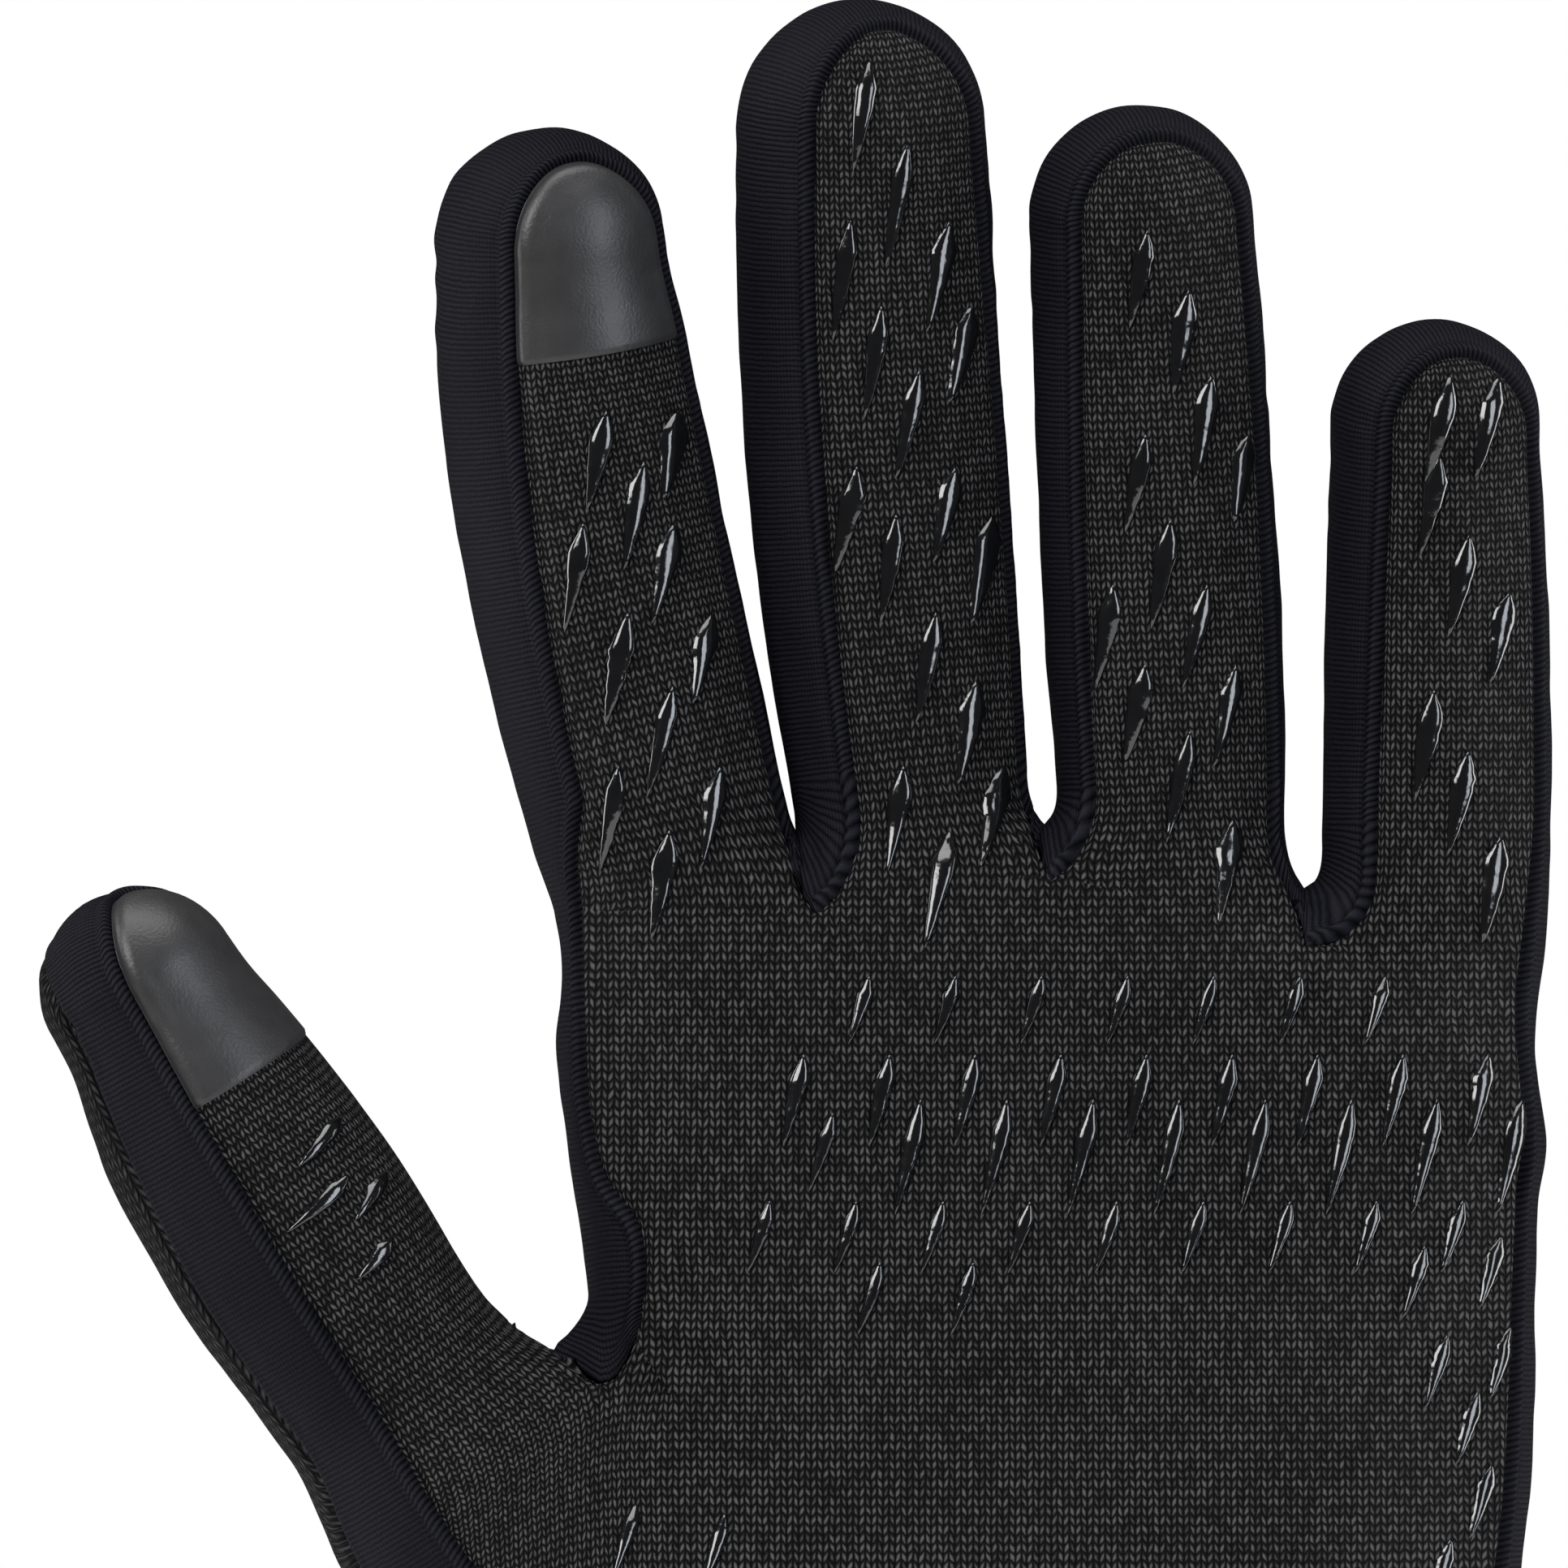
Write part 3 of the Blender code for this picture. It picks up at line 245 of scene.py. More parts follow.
TABLE_STEP, TABLE_TURN, TABLE_RISE = 1.25, 5.0, 7.5
TABLE_START = {"thumb": -75.0, "index": -15.0, "middle": -15.0, "ring": -15.0, "little": -15.0}


@functools.cache
def shaft_table(name):
    s = np.arange(TABLE_START[name], digit_length(name) + 4 * TABLE_STEP, TABLE_STEP)
    return exact_ring_points(name, s[:, None], np.arange(0, 360, TABLE_TURN)[None])


@functools.cache
def end_table(name):
    angle = np.radians(np.arange(0, 360, TABLE_TURN))[None]
    rise = np.radians(np.arange(0, 90.1, TABLE_RISE))[:, None]
    length = np.full(np.broadcast(angle, rise).shape, digit_length(name))
    along, front, side = digit_frame(name, length)
    level = np.cos(angle)[..., None] * front + np.sin(angle)[..., None] * side
    rays = np.cos(rise)[..., None] * level + np.sin(rise)[..., None] * along
    table = cast(digit_point(name, length), rays, name)
    beyond = np.roll(table, 180 // int(TABLE_TURN), axis=1)[-3:-1][::-1]
    below = 2 * table[:1] - table[1:2]
    return np.concatenate([below, table, beyond])


def cubic(t):
    """Weights of four neighbours on a smooth curve."""
    return np.stack([-t + 2 * t ** 2 - t ** 3, 2 - 5 * t ** 2 + 3 * t ** 3,
                     t + 4 * t ** 2 - 3 * t ** 3, -t ** 2 + t ** 3], axis=-1) / 2


def looked_up(table, row, column):
    """Points between a table's, whose columns go all round."""
    i = np.clip(np.floor(row).astype(int), 1, len(table) - 3)
    j = np.floor(column).astype(int)
    row_weights, column_weights = cubic(row - i), cubic(column - j)
    found = 0.0
    for a in range(4):
        for b in range(4):
            weight = (row_weights[..., a] * column_weights[..., b])[..., None]
            found = found + weight * table[i + a - 1, (j + b - 1) % table.shape[1]]
    return found


def ring_points(name, s, angle):
    """Points of the form around a digit, at s and at angles in degrees from its front."""
    s, angle = np.broadcast_arrays(np.asarray(s, float), np.asarray(angle, float))
    return looked_up(shaft_table(name), (s - TABLE_START[name]) / TABLE_STEP, angle / TABLE_TURN)


def end_points(name, angle, rise):
    """Points over the digit's round end: rise is 0 at its side and 90 degrees at its very tip."""
    angle, rise = np.broadcast_arrays(np.asarray(angle, float), np.asarray(rise, float))
    return looked_up(end_table(name), rise / TABLE_RISE + 1, angle / TABLE_TURN)


def digit_coordinates(name, points):
    """The s and angle of points on the form, as ring_points takes them."""
    s = np.zeros(points.shape[:-1])
    for _ in range(12):
        along, front, side = digit_frame(name, s)
        s = s + ((points - digit_point(name, s)) * along).sum(-1)
    away = points - digit_point(name, s)
    return s, np.degrees(np.arctan2((away * side).sum(-1), (away * front).sum(-1)))


def pressed(xz, facing):
    """Points of the form straight in front of (facing -1) or behind (facing 1) points x, z."""
    xz = np.asarray(xz, float)
    origins = np.stack([xz[..., 0], np.zeros(xz.shape[:-1]), xz[..., 1]], axis=-1)
    return cast(origins, np.broadcast_to([0.0, float(facing), 0.0], origins.shape), None, 45.0)


# ---------------------------------------------------------------- seams

def graded(count, dense, width):
    """Shares across a panel about width wide, close together near both edges."""
    inner = np.linspace(dense[-1] / width, 1 - dense[-1] / width, count)
    edge = np.array(dense[:-1]) / width
    return np.concatenate([edge, inner, 1 - edge[::-1]])


EDGE_STEPS = (0.0, 0.15, 0.3, 0.48, 0.7, 0.95, 1.25, 1.6, 2.0)
PANEL_COLUMNS = graded(38, EDGE_STEPS, 23.0)
STRIP_COLUMNS = graded(24, EDGE_STEPS, 16.0)
ACROSS = np.array([0, 0.04, 0.1, 0.18, 0.3, 0.42, 0.5, 0.58, 0.7, 0.82, 0.9, 0.96, 1])
COLLAR_ROWS = np.linspace(0, 1, 27)


def refined(grid, rows_at, columns_at, rows, columns):
    """A grid of points with more rows and columns, on smooth curves through its own."""
    for axis, at, new in ((0, rows_at, rows), (1, columns_at, columns)):
        values = np.moveaxis(grid, axis, 0)
        slopes = np.gradient(values, at, axis=0)
        i = np.clip(np.searchsorted(at, new, side="right") - 1, 0, len(at) - 2)
        h = (at[i + 1] - at[i])[:, None, None]
        t = ((new - at[i])[:, None, None]) / h
        values = (values[i] * (1 + 2 * t) * (1 - t) ** 2 + slopes[i] * h * t * (1 - t) ** 2
                  + values[i + 1] * t * t * (3 - 2 * t) + slopes[i + 1] * h * t * t * (t - 1))
        grid = np.moveaxis(values, 0, axis)
    return grid


def pinned(grid, edge, target, reach=8):
    """A grid whose edge row or column is moved onto target, and the rows behind it less and less."""
    turned = {"bottom": grid, "top": grid[::-1], "left": grid.swapaxes(0, 1),
              "right": grid.swapaxes(0, 1)[::-1]}[edge]
    shift = target - turned[0]
    count = min(reach, len(turned))
    for k in range(count):
        turned[k] += shift * (1 - k / count) ** 2
    return grid


def front_seams(name, s):
    d = DIGITS[name]
    t = np.clip(np.asarray(s, float) / digit_length(name), 0, 1)
    return mix(*d["left"], t), mix(*d["right"], t)


def back_seams(name, s):
    low, high = front_seams(name, s)
    gussets = DIGITS[name]["gussets"]
    return low - gussets[0] + 360, high + gussets[1]


def crease_x(left, right, y, z):
    """x between two neighbouring fingers, as far inside or outside the one as the other."""
    middle = CROTCHES_FRONT[FINGERS.index(right)][0]
    low, high = np.full(np.shape(y), middle - 8.0), np.full(np.shape(y), middle + 8.0)
    for _ in range(16):
        x = (low + high) / 2
        p = np.stack(np.broadcast_arrays(x, y, z), axis=-1)
        beyond = digit_field(left, p) > digit_field(right, p)
        low, high = np.where(beyond, low, x), np.where(beyond, x, high)
    return (low + high) / 2


def crease_cast(left, right, z, dy, dz):
    """The points between two fingers where rays from the middle depth leave the form."""
    near, far = np.zeros(np.shape(dy)), np.full(np.shape(dy), 22.0)
    for _ in range(16):
        r = (near + far) / 2
        p = np.stack([crease_x(left, right, r * dy, z + r * dz), r * dy, z + r * dz], axis=-1)
        out = form_field(p) > 0
        near, far = np.where(out, near, r), np.where(out, r, far)
    return p


@functools.cache
def crotch_points(facing):
    points = pressed(CROTCHES_FRONT if facing < 0 else CROTCHES_BACK, facing)
    for k, (left, right) in enumerate(zip(FINGERS[:-1], FINGERS[1:]), 1):
        points[k] = crease_cast(left, right, points[k, 2], np.array([float(facing)]), np.zeros(1))[0]
    return points


def polar(name, points):
    """s, angle and radius of points round a digit."""
    s, angle = digit_coordinates(name, points)
    return s, angle, np.linalg.norm(points - digit_point(name, s), axis=-1)


def from_polar(name, s, angle, radius):
    _, front, side = digit_frame(name, s)
    turn = np.radians(angle)[..., None]
    return digit_point(name, s) + (np.cos(turn) * front + np.sin(turn) * side) * np.asarray(radius)[..., None]


def turned_line(name, first, last, share, lap=None):
    """A line on the form from one point to another, turning evenly round a digit."""
    ends = np.stack([np.array(polar(name, first)), np.array(polar(name, last))])
    if lap is not None:
        ends[:, 1] = lap + (ends[:, 1] - lap) % 360
    line = settle(from_polar(name, *mix(ends[0][:, None], ends[1][:, None], share)), name)
    line[0], line[-1] = first, last
    return line


@functools.cache
def edge_line(name, side, facing):
    """An edge of a finger's panel, from its crotch to the collar's top."""
    seams = front_seams if facing < 0 else back_seams
    crotch = crotch_points(facing)[FINGERS.index(name) + side]
    start, turn = digit_coordinates(name, crotch)
    s = mix(start, COLLAR_TOP[name], COLLAR_ROWS)
    if (name, side) in (("index", 0), ("little", 1)):
        turn = turn % 360 if facing > 0 else turn
        goal = seams(name, COLLAR_TOP[name])[side]
        angle = mix(turn, goal, COLLAR_ROWS ** 1.3)
        radius = mix(np.linalg.norm(crotch - digit_point(name, start)), DIGITS[name]["radius"][0], COLLAR_ROWS)
        line = from_polar(name, s, angle, radius)
    else:
        corner = ring_points(name, start + WEB_LENGTH, seams(name, start + WEB_LENGTH)[side])
        rise = np.clip((s - start) / WEB_LENGTH, 0, 1)[:, None]
        out = np.sqrt(1 - (1 - rise) ** 2)
        guess = crotch + (corner - crotch) * np.concatenate([out, out, rise], axis=1)
        line = np.where(rise >= 1, ring_points(name, s, seams(name, s)[side]), guess)
    line = settle(line, name)
    line[0] = crotch
    line[-1] = ring_points(name, COLLAR_TOP[name], seams(name, COLLAR_TOP[name])[side])
    return line


@functools.cache
def thumb_crotch(facing):
    return pressed([PALM_SEAM_FRONT[0] if facing < 0 else PALM_SEAM_BACK[0]], facing)[0]


@functools.cache
def thumb_turn():
    origin = np.array(THUMB_ROOT)
    ends = thumb_crotch(-1), cast(origin, np.array(THUMB_SADDLE) - origin)
    return np.array([ends[0], cast(origin, np.array(THUMB_TURN) - origin), ends[1]])


def thumb_edge(side, facing, share):
    """An edge of the thumb's panel, from its base (share 0) to the collar's top."""
    end = COLLAR_TOP["thumb"]
    seams = front_seams if facing < 0 else back_seams
    top = ring_points("thumb", end, seams("thumb", end)[side])
    if side == 0:
        s = mix(THUMB_FOOT, end, share)
        return ring_points("thumb", s, seams("thumb", s)[0])
    if facing < 0:
        points = np.array([*thumb_turn(), ring_points("thumb", 4.0, 99.0), top])
        line = np.stack([smooth_steps(share, THUMB_STATIONS, points[:, k]) for k in range(3)], axis=-1)
        return settle(line, "thumb")
    return turned_line("thumb", thumb_crotch(1), top, share, 0)


def coons(bottom, top, left, right, u, v):
    """A grid between four boundary curves: rows run from bottom to top, at shares u and v."""
    u, v = u[None, :, None], v[:, None, None]
    corners = mix(mix(bottom[0], bottom[-1], u), mix(top[0], top[-1], u), v)
    return mix(bottom[None], top[None], v) + mix(left[:, None], right[:, None], u) - corners


def patch(bottom, top, left, right, u, v, name=None):
    """A coons grid settled onto the form, between edges that stay where they are."""
    grid = settle(coons(bottom, top, left, right, u, v), name)
    grid[0], grid[-1], grid[:, 0], grid[:, -1] = bottom, top, left, right
    return grid


@functools.cache
def collar_grid(name, facing):
    """A digit's part of the palm panel or the back, up to its collar's top."""
    if name == "thumb":
        left, right = thumb_edge(0, facing, COLLAR_ROWS), thumb_edge(1, facing, COLLAR_ROWS)
        bottom = turned_line(name, left[0], right[0], PANEL_COLUMNS, -180 if facing < 0 else 60)
    else:
        left, right = edge_line(name, 0, facing), edge_line(name, 1, facing)
        bottom = settle(mix(left[0], right[0], PANEL_COLUMNS[:, None]))
        bottom[0], bottom[-1] = left[0], right[0]
    low, high = strip_angles(name, "front" if facing < 0 else "back", COLLAR_TOP[name])
    top = ring_points(name, COLLAR_TOP[name], mix(low, high, PANEL_COLUMNS))
    if facing > 0:
        left, right = right, left
        bottom = bottom[::-1]
    left[-1], right[-1] = top[0], top[-1]
    return patch(bottom, top, left, right, PANEL_COLUMNS, COLLAR_ROWS, name)


def curve_through(points, share):
    points = np.asarray(points, float)
    at = np.concatenate([[0], np.cumsum(np.linalg.norm(np.diff(points, axis=0), axis=1))])
    return np.stack([smooth_steps(share * at[-1], at, points[:, k]) for k in range(points.shape[1])], axis=-1)


def inner_seam(facing, share):
    """The seam down the palm's edge from the index finger's base (share 1) to the thumb's crotch (0)."""
    end = crotch_points(facing)[0]
    points = [*(PALM_SEAM_FRONT if facing < 0 else PALM_SEAM_BACK), (end[0], end[2])]
    seam = pressed(curve_through(points, share), facing)
    seam[-1] = end
    return seam


def outer_seam(facing, share):
    """The seam down the palm's outer edge, from the little finger's base (share 1) to the wrist (0)."""
    end = crotch_points(facing)[-1]
    angle = np.radians(OUTER_SEAM_ANGLES[0] if facing < 0 else OUTER_SEAM_ANGLES[1])
    z = mix(WRIST_Z, end[2], share)
    inset = smooth_steps(z, PALM_Z, PALM_HALF_WIDTH) - smooth_steps(z, PALM_Z, PALM_HALF_DEPTH)
    origins = np.stack([smooth_steps(z, PALM_Z, PALM_CENTRE) + inset, 0 * z, z], axis=-1)
    directions = np.broadcast_to([math.sin(angle), -math.cos(angle), 0.0], origins.shape)
    seam = cast(origins, directions, None, 45.0)
    return seam + (end - seam[-1]) * (share ** 3)[:, None]


def wrist_reach(angle):
    """How far back along the thumb's line the form's surface is at the wrist, at an angle round it."""
    s = np.full(np.shape(angle), -60.0)
    for _ in range(14):
        along = digit_frame("thumb", s)[0]
        s = s + (WRIST_Z - ring_points("thumb", s, angle)[..., 2]) / along[..., 2]
    return s


LOW_ROWS, HIGH_ROWS = np.linspace(0, 1, 111), np.linspace(0, 1, 71)
LOW_SHARE = 0.6  # of the palm's height, below the thumb's crotch


@functools.cache
def wrist_arc(first, last, columns):
    """The form's outline at the wrist, between two angles round the thumb's line."""
    angle = mix(first, last, np.array(columns))
    return ring_points("thumb", wrist_reach(angle), angle)


def foot_line(name, facing):
    """The bottom of a digit's part of a panel, from the thumb's side of the hand to the little finger's."""
    return collar_grid(name, facing)[0][::-facing]


@functools.cache
def thumb_block(facing):
    """The ball of the thumb's part of the palm panel or the hand's back, from the wrist up."""
    top, lap = foot_line("thumb", facing), -180 if facing < 0 else 60
    ends = ((THUMB_WRIST_ANGLES[0], DIVIDER_ANGLES[0]) if facing < 0
            else (THUMB_WRIST_ANGLES[1], DIVIDER_ANGLES[1]))
    bottom = wrist_arc(*ends, tuple(PANEL_COLUMNS))
    left = turned_line("thumb", bottom[0], top[0], LOW_ROWS, lap)
    right = turned_line("thumb", bottom[-1], top[-1], LOW_ROWS, lap)
    return patch(bottom, top, left, right, PANEL_COLUMNS, LOW_ROWS, "thumb")


@functools.cache
def palm_block(facing):
    """The palm's part of the palm panel or the hand's back, from the wrist to the fingers' crotches."""
    line = np.concatenate([foot_line(f, facing)[(f != FINGERS[0]):] for f in FINGERS])
    divider = thumb_block(facing)[:, -1]
    left = np.concatenate([divider, inner_seam(facing, HIGH_ROWS)[1:]])
    share = np.concatenate([LOW_ROWS * LOW_SHARE, LOW_SHARE + HIGH_ROWS[1:] * (1 - LOW_SHARE)])
    right = outer_seam(facing, share)
    u = (line[:, 0] - line[0, 0]) / (line[-1, 0] - line[0, 0])
    bottom = pressed(np.stack([mix(divider[0][0], right[0][0], u), np.full(len(u), WRIST_Z)], -1), facing)
    bottom[0], bottom[-1] = divider[0], right[0]
    grid = coons(bottom, line, left, right, u, share)
    columns = np.unique(np.concatenate([[0, 2], np.arange(5, len(u) - 4, 5), [len(u) - 3, len(u) - 1]]))
    halves = []
    for low, high, name in ((0, len(LOW_ROWS), "thumb"), (len(LOW_ROWS) - 1, len(share), None)):
        rows = np.unique(np.concatenate([np.arange(low, high - 3, 4), [high - 1]]))
        coarse = settle(grid[rows][:, columns], name)
        halves.append(refined(coarse, share[rows], u[columns], share[low:high], u))
    fine = np.concatenate([halves[0], halves[1][1:]])
    for edge, target in (("left", left), ("right", right), ("bottom", bottom), ("top", line)):
        pinned(fine, edge, target)
    return fine


def fan(origin, first, last, share, name=None):
    """Points of the form from first to last, along rays that swing from one to the other."""
    start, stop = unit(first - origin), unit(last - origin)
    turn = np.arccos(np.clip((start * stop).sum(-1, keepdims=True), -1, 1))[..., None, :]
    t = share[:, None]
    rays = (np.sin((1 - t) * turn) * start[..., None, :] + np.sin(t * turn) * stop[..., None, :])
    points = cast(np.broadcast_to(origin[..., None, :], rays.shape), rays, name, 45.0)
    points[..., 0, :], points[..., -1, :] = first, last
    return points


def line_through(points, share):
    """Points at shares along a curve given by many points."""
    grid = np.asarray(points, float)[None]
    at = np.concatenate([[0], np.cumsum(np.linalg.norm(np.diff(grid[0], axis=0), axis=1))])
    return refined(np.repeat(grid, 2, axis=0), np.array([0.0, 1.0]), at / at[-1], np.array([0.0]), share)[0]


def gusset_arc(name, side, s):
    """Points across a gusset from its front seam to its back seam, at s along the digit."""
    low, high = strip_angles(name, "right_gusset" if side else "left_gusset", s)
    return ring_points(name, s, mix(low, high, STRIP_COLUMNS if side else 1 - STRIP_COLUMNS))


def side_strip(name, side, foot):
    """A gusset on one side of a finger, from a given bottom edge up to the collar's top."""
    top = gusset_arc(name, side, COLLAR_TOP[name])
    return patch(foot, top, edge_line(name, side, -1), edge_line(name, side, 1), STRIP_COLUMNS, COLLAR_ROWS,
                 name)


def web_grid(left, right):
    """The U-shaped gusset between two fingers, up to their collars' tops."""
    k = FINGERS.index(right)
    front, back = crotch_points(-1)[k], crotch_points(1)[k]
    z = (front[2] + back[2]) / 2 - 8.0
    turn = mix(math.atan2(front[2] - z, -front[1]), math.pi - math.atan2(back[2] - z, back[1]), STRIP_COLUMNS)
    foot = crease_cast(left, right, z, -np.cos(turn), np.sin(turn))
    foot[0], foot[-1] = front, back
    return side_strip(left, 1, foot), side_strip(right, 0, foot)


def thumb_web_grids():
    """The gusset from the index finger down the palm's edge to the crotch, and on up the thumb's side."""
    turn, split = thumb_turn(), THUMB_STATIONS[2]
    front_line = thumb_edge(1, -1, np.linspace(0, split, 9))
    front_line[0] = turn[0]
    back_line = fan(np.array(THUMB_ROOT), front_line[-1], thumb_crotch(1), np.linspace(0, 1, 9))
    line = line_through(np.concatenate([front_line, back_line[1:]]), STRIP_COLUMNS)
    shares = np.linspace(0, 1, 11)
    inner = [inner_seam(-1, shares), inner_seam(1, shares)]
    middle = (inner[0] + inner[1]) / 2 * np.array([1, 0, 1]) + np.array([14.0, 0, 0])
    low = refined(fan(middle, inner[0], inner[1], ACROSS), shares, ACROSS, HIGH_ROWS, STRIP_COLUMNS)
    for edge, target in (("left", inner_seam(-1, HIGH_ROWS)), ("right", inner_seam(1, HIGH_ROWS)),
                         ("bottom", line)):
        pinned(low, edge, target)
    high = side_strip("index", 0, low[-1])
    thumb = patch(line_through(back_line, STRIP_COLUMNS), gusset_arc("thumb", 1, COLLAR_TOP["thumb"]),
                  thumb_edge(1, -1, mix(split, 1, COLLAR_ROWS)), thumb_edge(1, 1, COLLAR_ROWS),
                  STRIP_COLUMNS, COLLAR_ROWS, "thumb")
    return low, high, thumb


EDGE_ROWS = np.linspace(0, 1, 181)


def little_edge_grids():
    """The gusset down the palm's outer edge, from the little finger's collar to the wrist."""
    shares = np.linspace(0, 1, 17)
    front, back = outer_seam(-1, shares), outer_seam(1, shares)
    origin = (front + back) / 2 * np.array([1, 0, 1]) - np.array([12.0, 0, 0])
    low = refined(fan(origin, front, back, ACROSS), shares, ACROSS, EDGE_ROWS, STRIP_COLUMNS)
    for edge, facing in (("left", -1), ("right", 1)):
        pinned(low, edge, outer_seam(facing, EDGE_ROWS))
    return low, side_strip("little", 1, low[-1])


def thumb_edge_grids():
    """The gusset down the thumb's outer edge, from its collar to the wrist."""
    top = gusset_arc("thumb", 0, THUMB_FOOT)
    low = patch(wrist_arc(*THUMB_WRIST_ANGLES, tuple(STRIP_COLUMNS)), top, thumb_block(-1)[:, 0],
                thumb_block(1)[:, 0], STRIP_COLUMNS, LOW_ROWS, "thumb")
    high = patch(top, gusset_arc("thumb", 0, COLLAR_TOP["thumb"]), thumb_edge(0, -1, COLLAR_ROWS),
                 thumb_edge(0, 1, COLLAR_ROWS), STRIP_COLUMNS, COLLAR_ROWS, "thumb")
    return low, high


# ---------------------------------------------------------------- a digit above its collar

def strip_angles(name, part, s):
    low, high = front_seams(name, s)
    left, right = DIGITS[name]["gussets"]
    return {"front": (low, high), "back": (high + right, low - left + 360),
            "left_gusset": (low - left, low), "right_gusset": (high, high + right)}[part]


def split_height(name):
    """s where a digit's skin is cut into its lower and upper piece."""
    low, high = DIGITS[name]["fold_at"]
    return (low + high) / 2 - 0.5


def shaft_rows(name, stage):
    low, high = ((COLLAR_TOP[name], split_height(name)) if stage == "lower"
                 else (split_height(name), digit_length(name)))
    return np.linspace(low, high, int((high - low) / 0.42) + 1)


def shaft_grid(name, part, stage):
    s = shaft_rows(name, stage)[:, None]
    low, high = strip_angles(name, part, s)
    columns = STRIP_COLUMNS if "gusset" in part else PANEL_COLUMNS
    angle = mix(low, high, columns)
    return ring_points(name, s, angle), s + 0 * angle, angle


def end_arch(name, part):
    low, high = strip_angles(name, part, digit_length(name))
    return (high - low) / 2, (high + low) / 2, DIGITS[name]["reach"] if part == "front" else BACK_REACH


def arch(half, middle, reach, turn):
    c, s = np.cos(np.radians(turn)), np.sin(np.radians(turn))
    return middle - half * np.sign(c) * np.abs(c) ** (2 / ARCH), reach * np.abs(s) ** (2 / ARCH)


def cap_coordinates(name, part, rows, columns):
    """Angle and rise over a panel's rounded end, between the round end's foot and its arch."""
    half, middle, reach = end_arch(name, part)
    angle, rise = arch(half, middle, reach, columns * 180)
    foot = middle + half * (columns * 2 - 1)
    return mix(foot, angle, rows[:, None]), rise * rows[:, None]


CAP_ROWS = np.linspace(0, 1, 30)


def end_strip_grid(name, turns):
    """The gusset that runs up one side of a fingertip, over its end and down the other side."""
    edges = []
    for part, flip in (("front", 1), ("back", -1)):
        half, middle, reach = end_arch(name, part)
        angle, rise = np.radians(arch(half, middle, reach, turns[::flip]))
        level = np.stack([np.cos(angle), np.sin(angle), 0 * angle], -1) * np.cos(rise)[:, None]
        edges.append(level + np.sin(rise)[:, None] * np.array([0.0, 0.0, 1.0]))
    mixed = unit(mix(edges[0][:, None], edges[1][:, None], STRIP_COLUMNS[None, :, None]))
    angle, rise = np.arctan2(mixed[..., 1], mixed[..., 0]), np.arcsin(np.clip(mixed[..., 2], -1, 1))
    return end_points(name, np.degrees(angle), np.degrees(rise))


# ---------------------------------------------------------------- skins

def waves(p, length, seed, count=36):
    """A smooth random height from -1 to 1, with bumps about length long."""
    rng = np.random.default_rng(seed)
    total = np.zeros(len(p))
    for _ in range(count):
        direction = unit(rng.normal(size=3))
        total += np.sin(p @ direction * (2 * math.pi / (length * rng.uniform(0.6, 1.7))) + rng.uniform(0, 6.28))
    return total / math.sqrt(count / 2) / 2


def faces_out(grid):
    """Whether a grid's quads, wound row by row, face away from the form's inside."""
    i, j = grid.shape[0] // 2, grid.shape[1] // 2
    normal = np.cross(grid[i, j + 1] - grid[i, j], grid[i + 1, j] - grid[i, j])
    ahead = grid[i, j] + unit(normal) * 0.5
    return form_field(ahead[None])[0] > form_field(grid[i, j][None])[0]


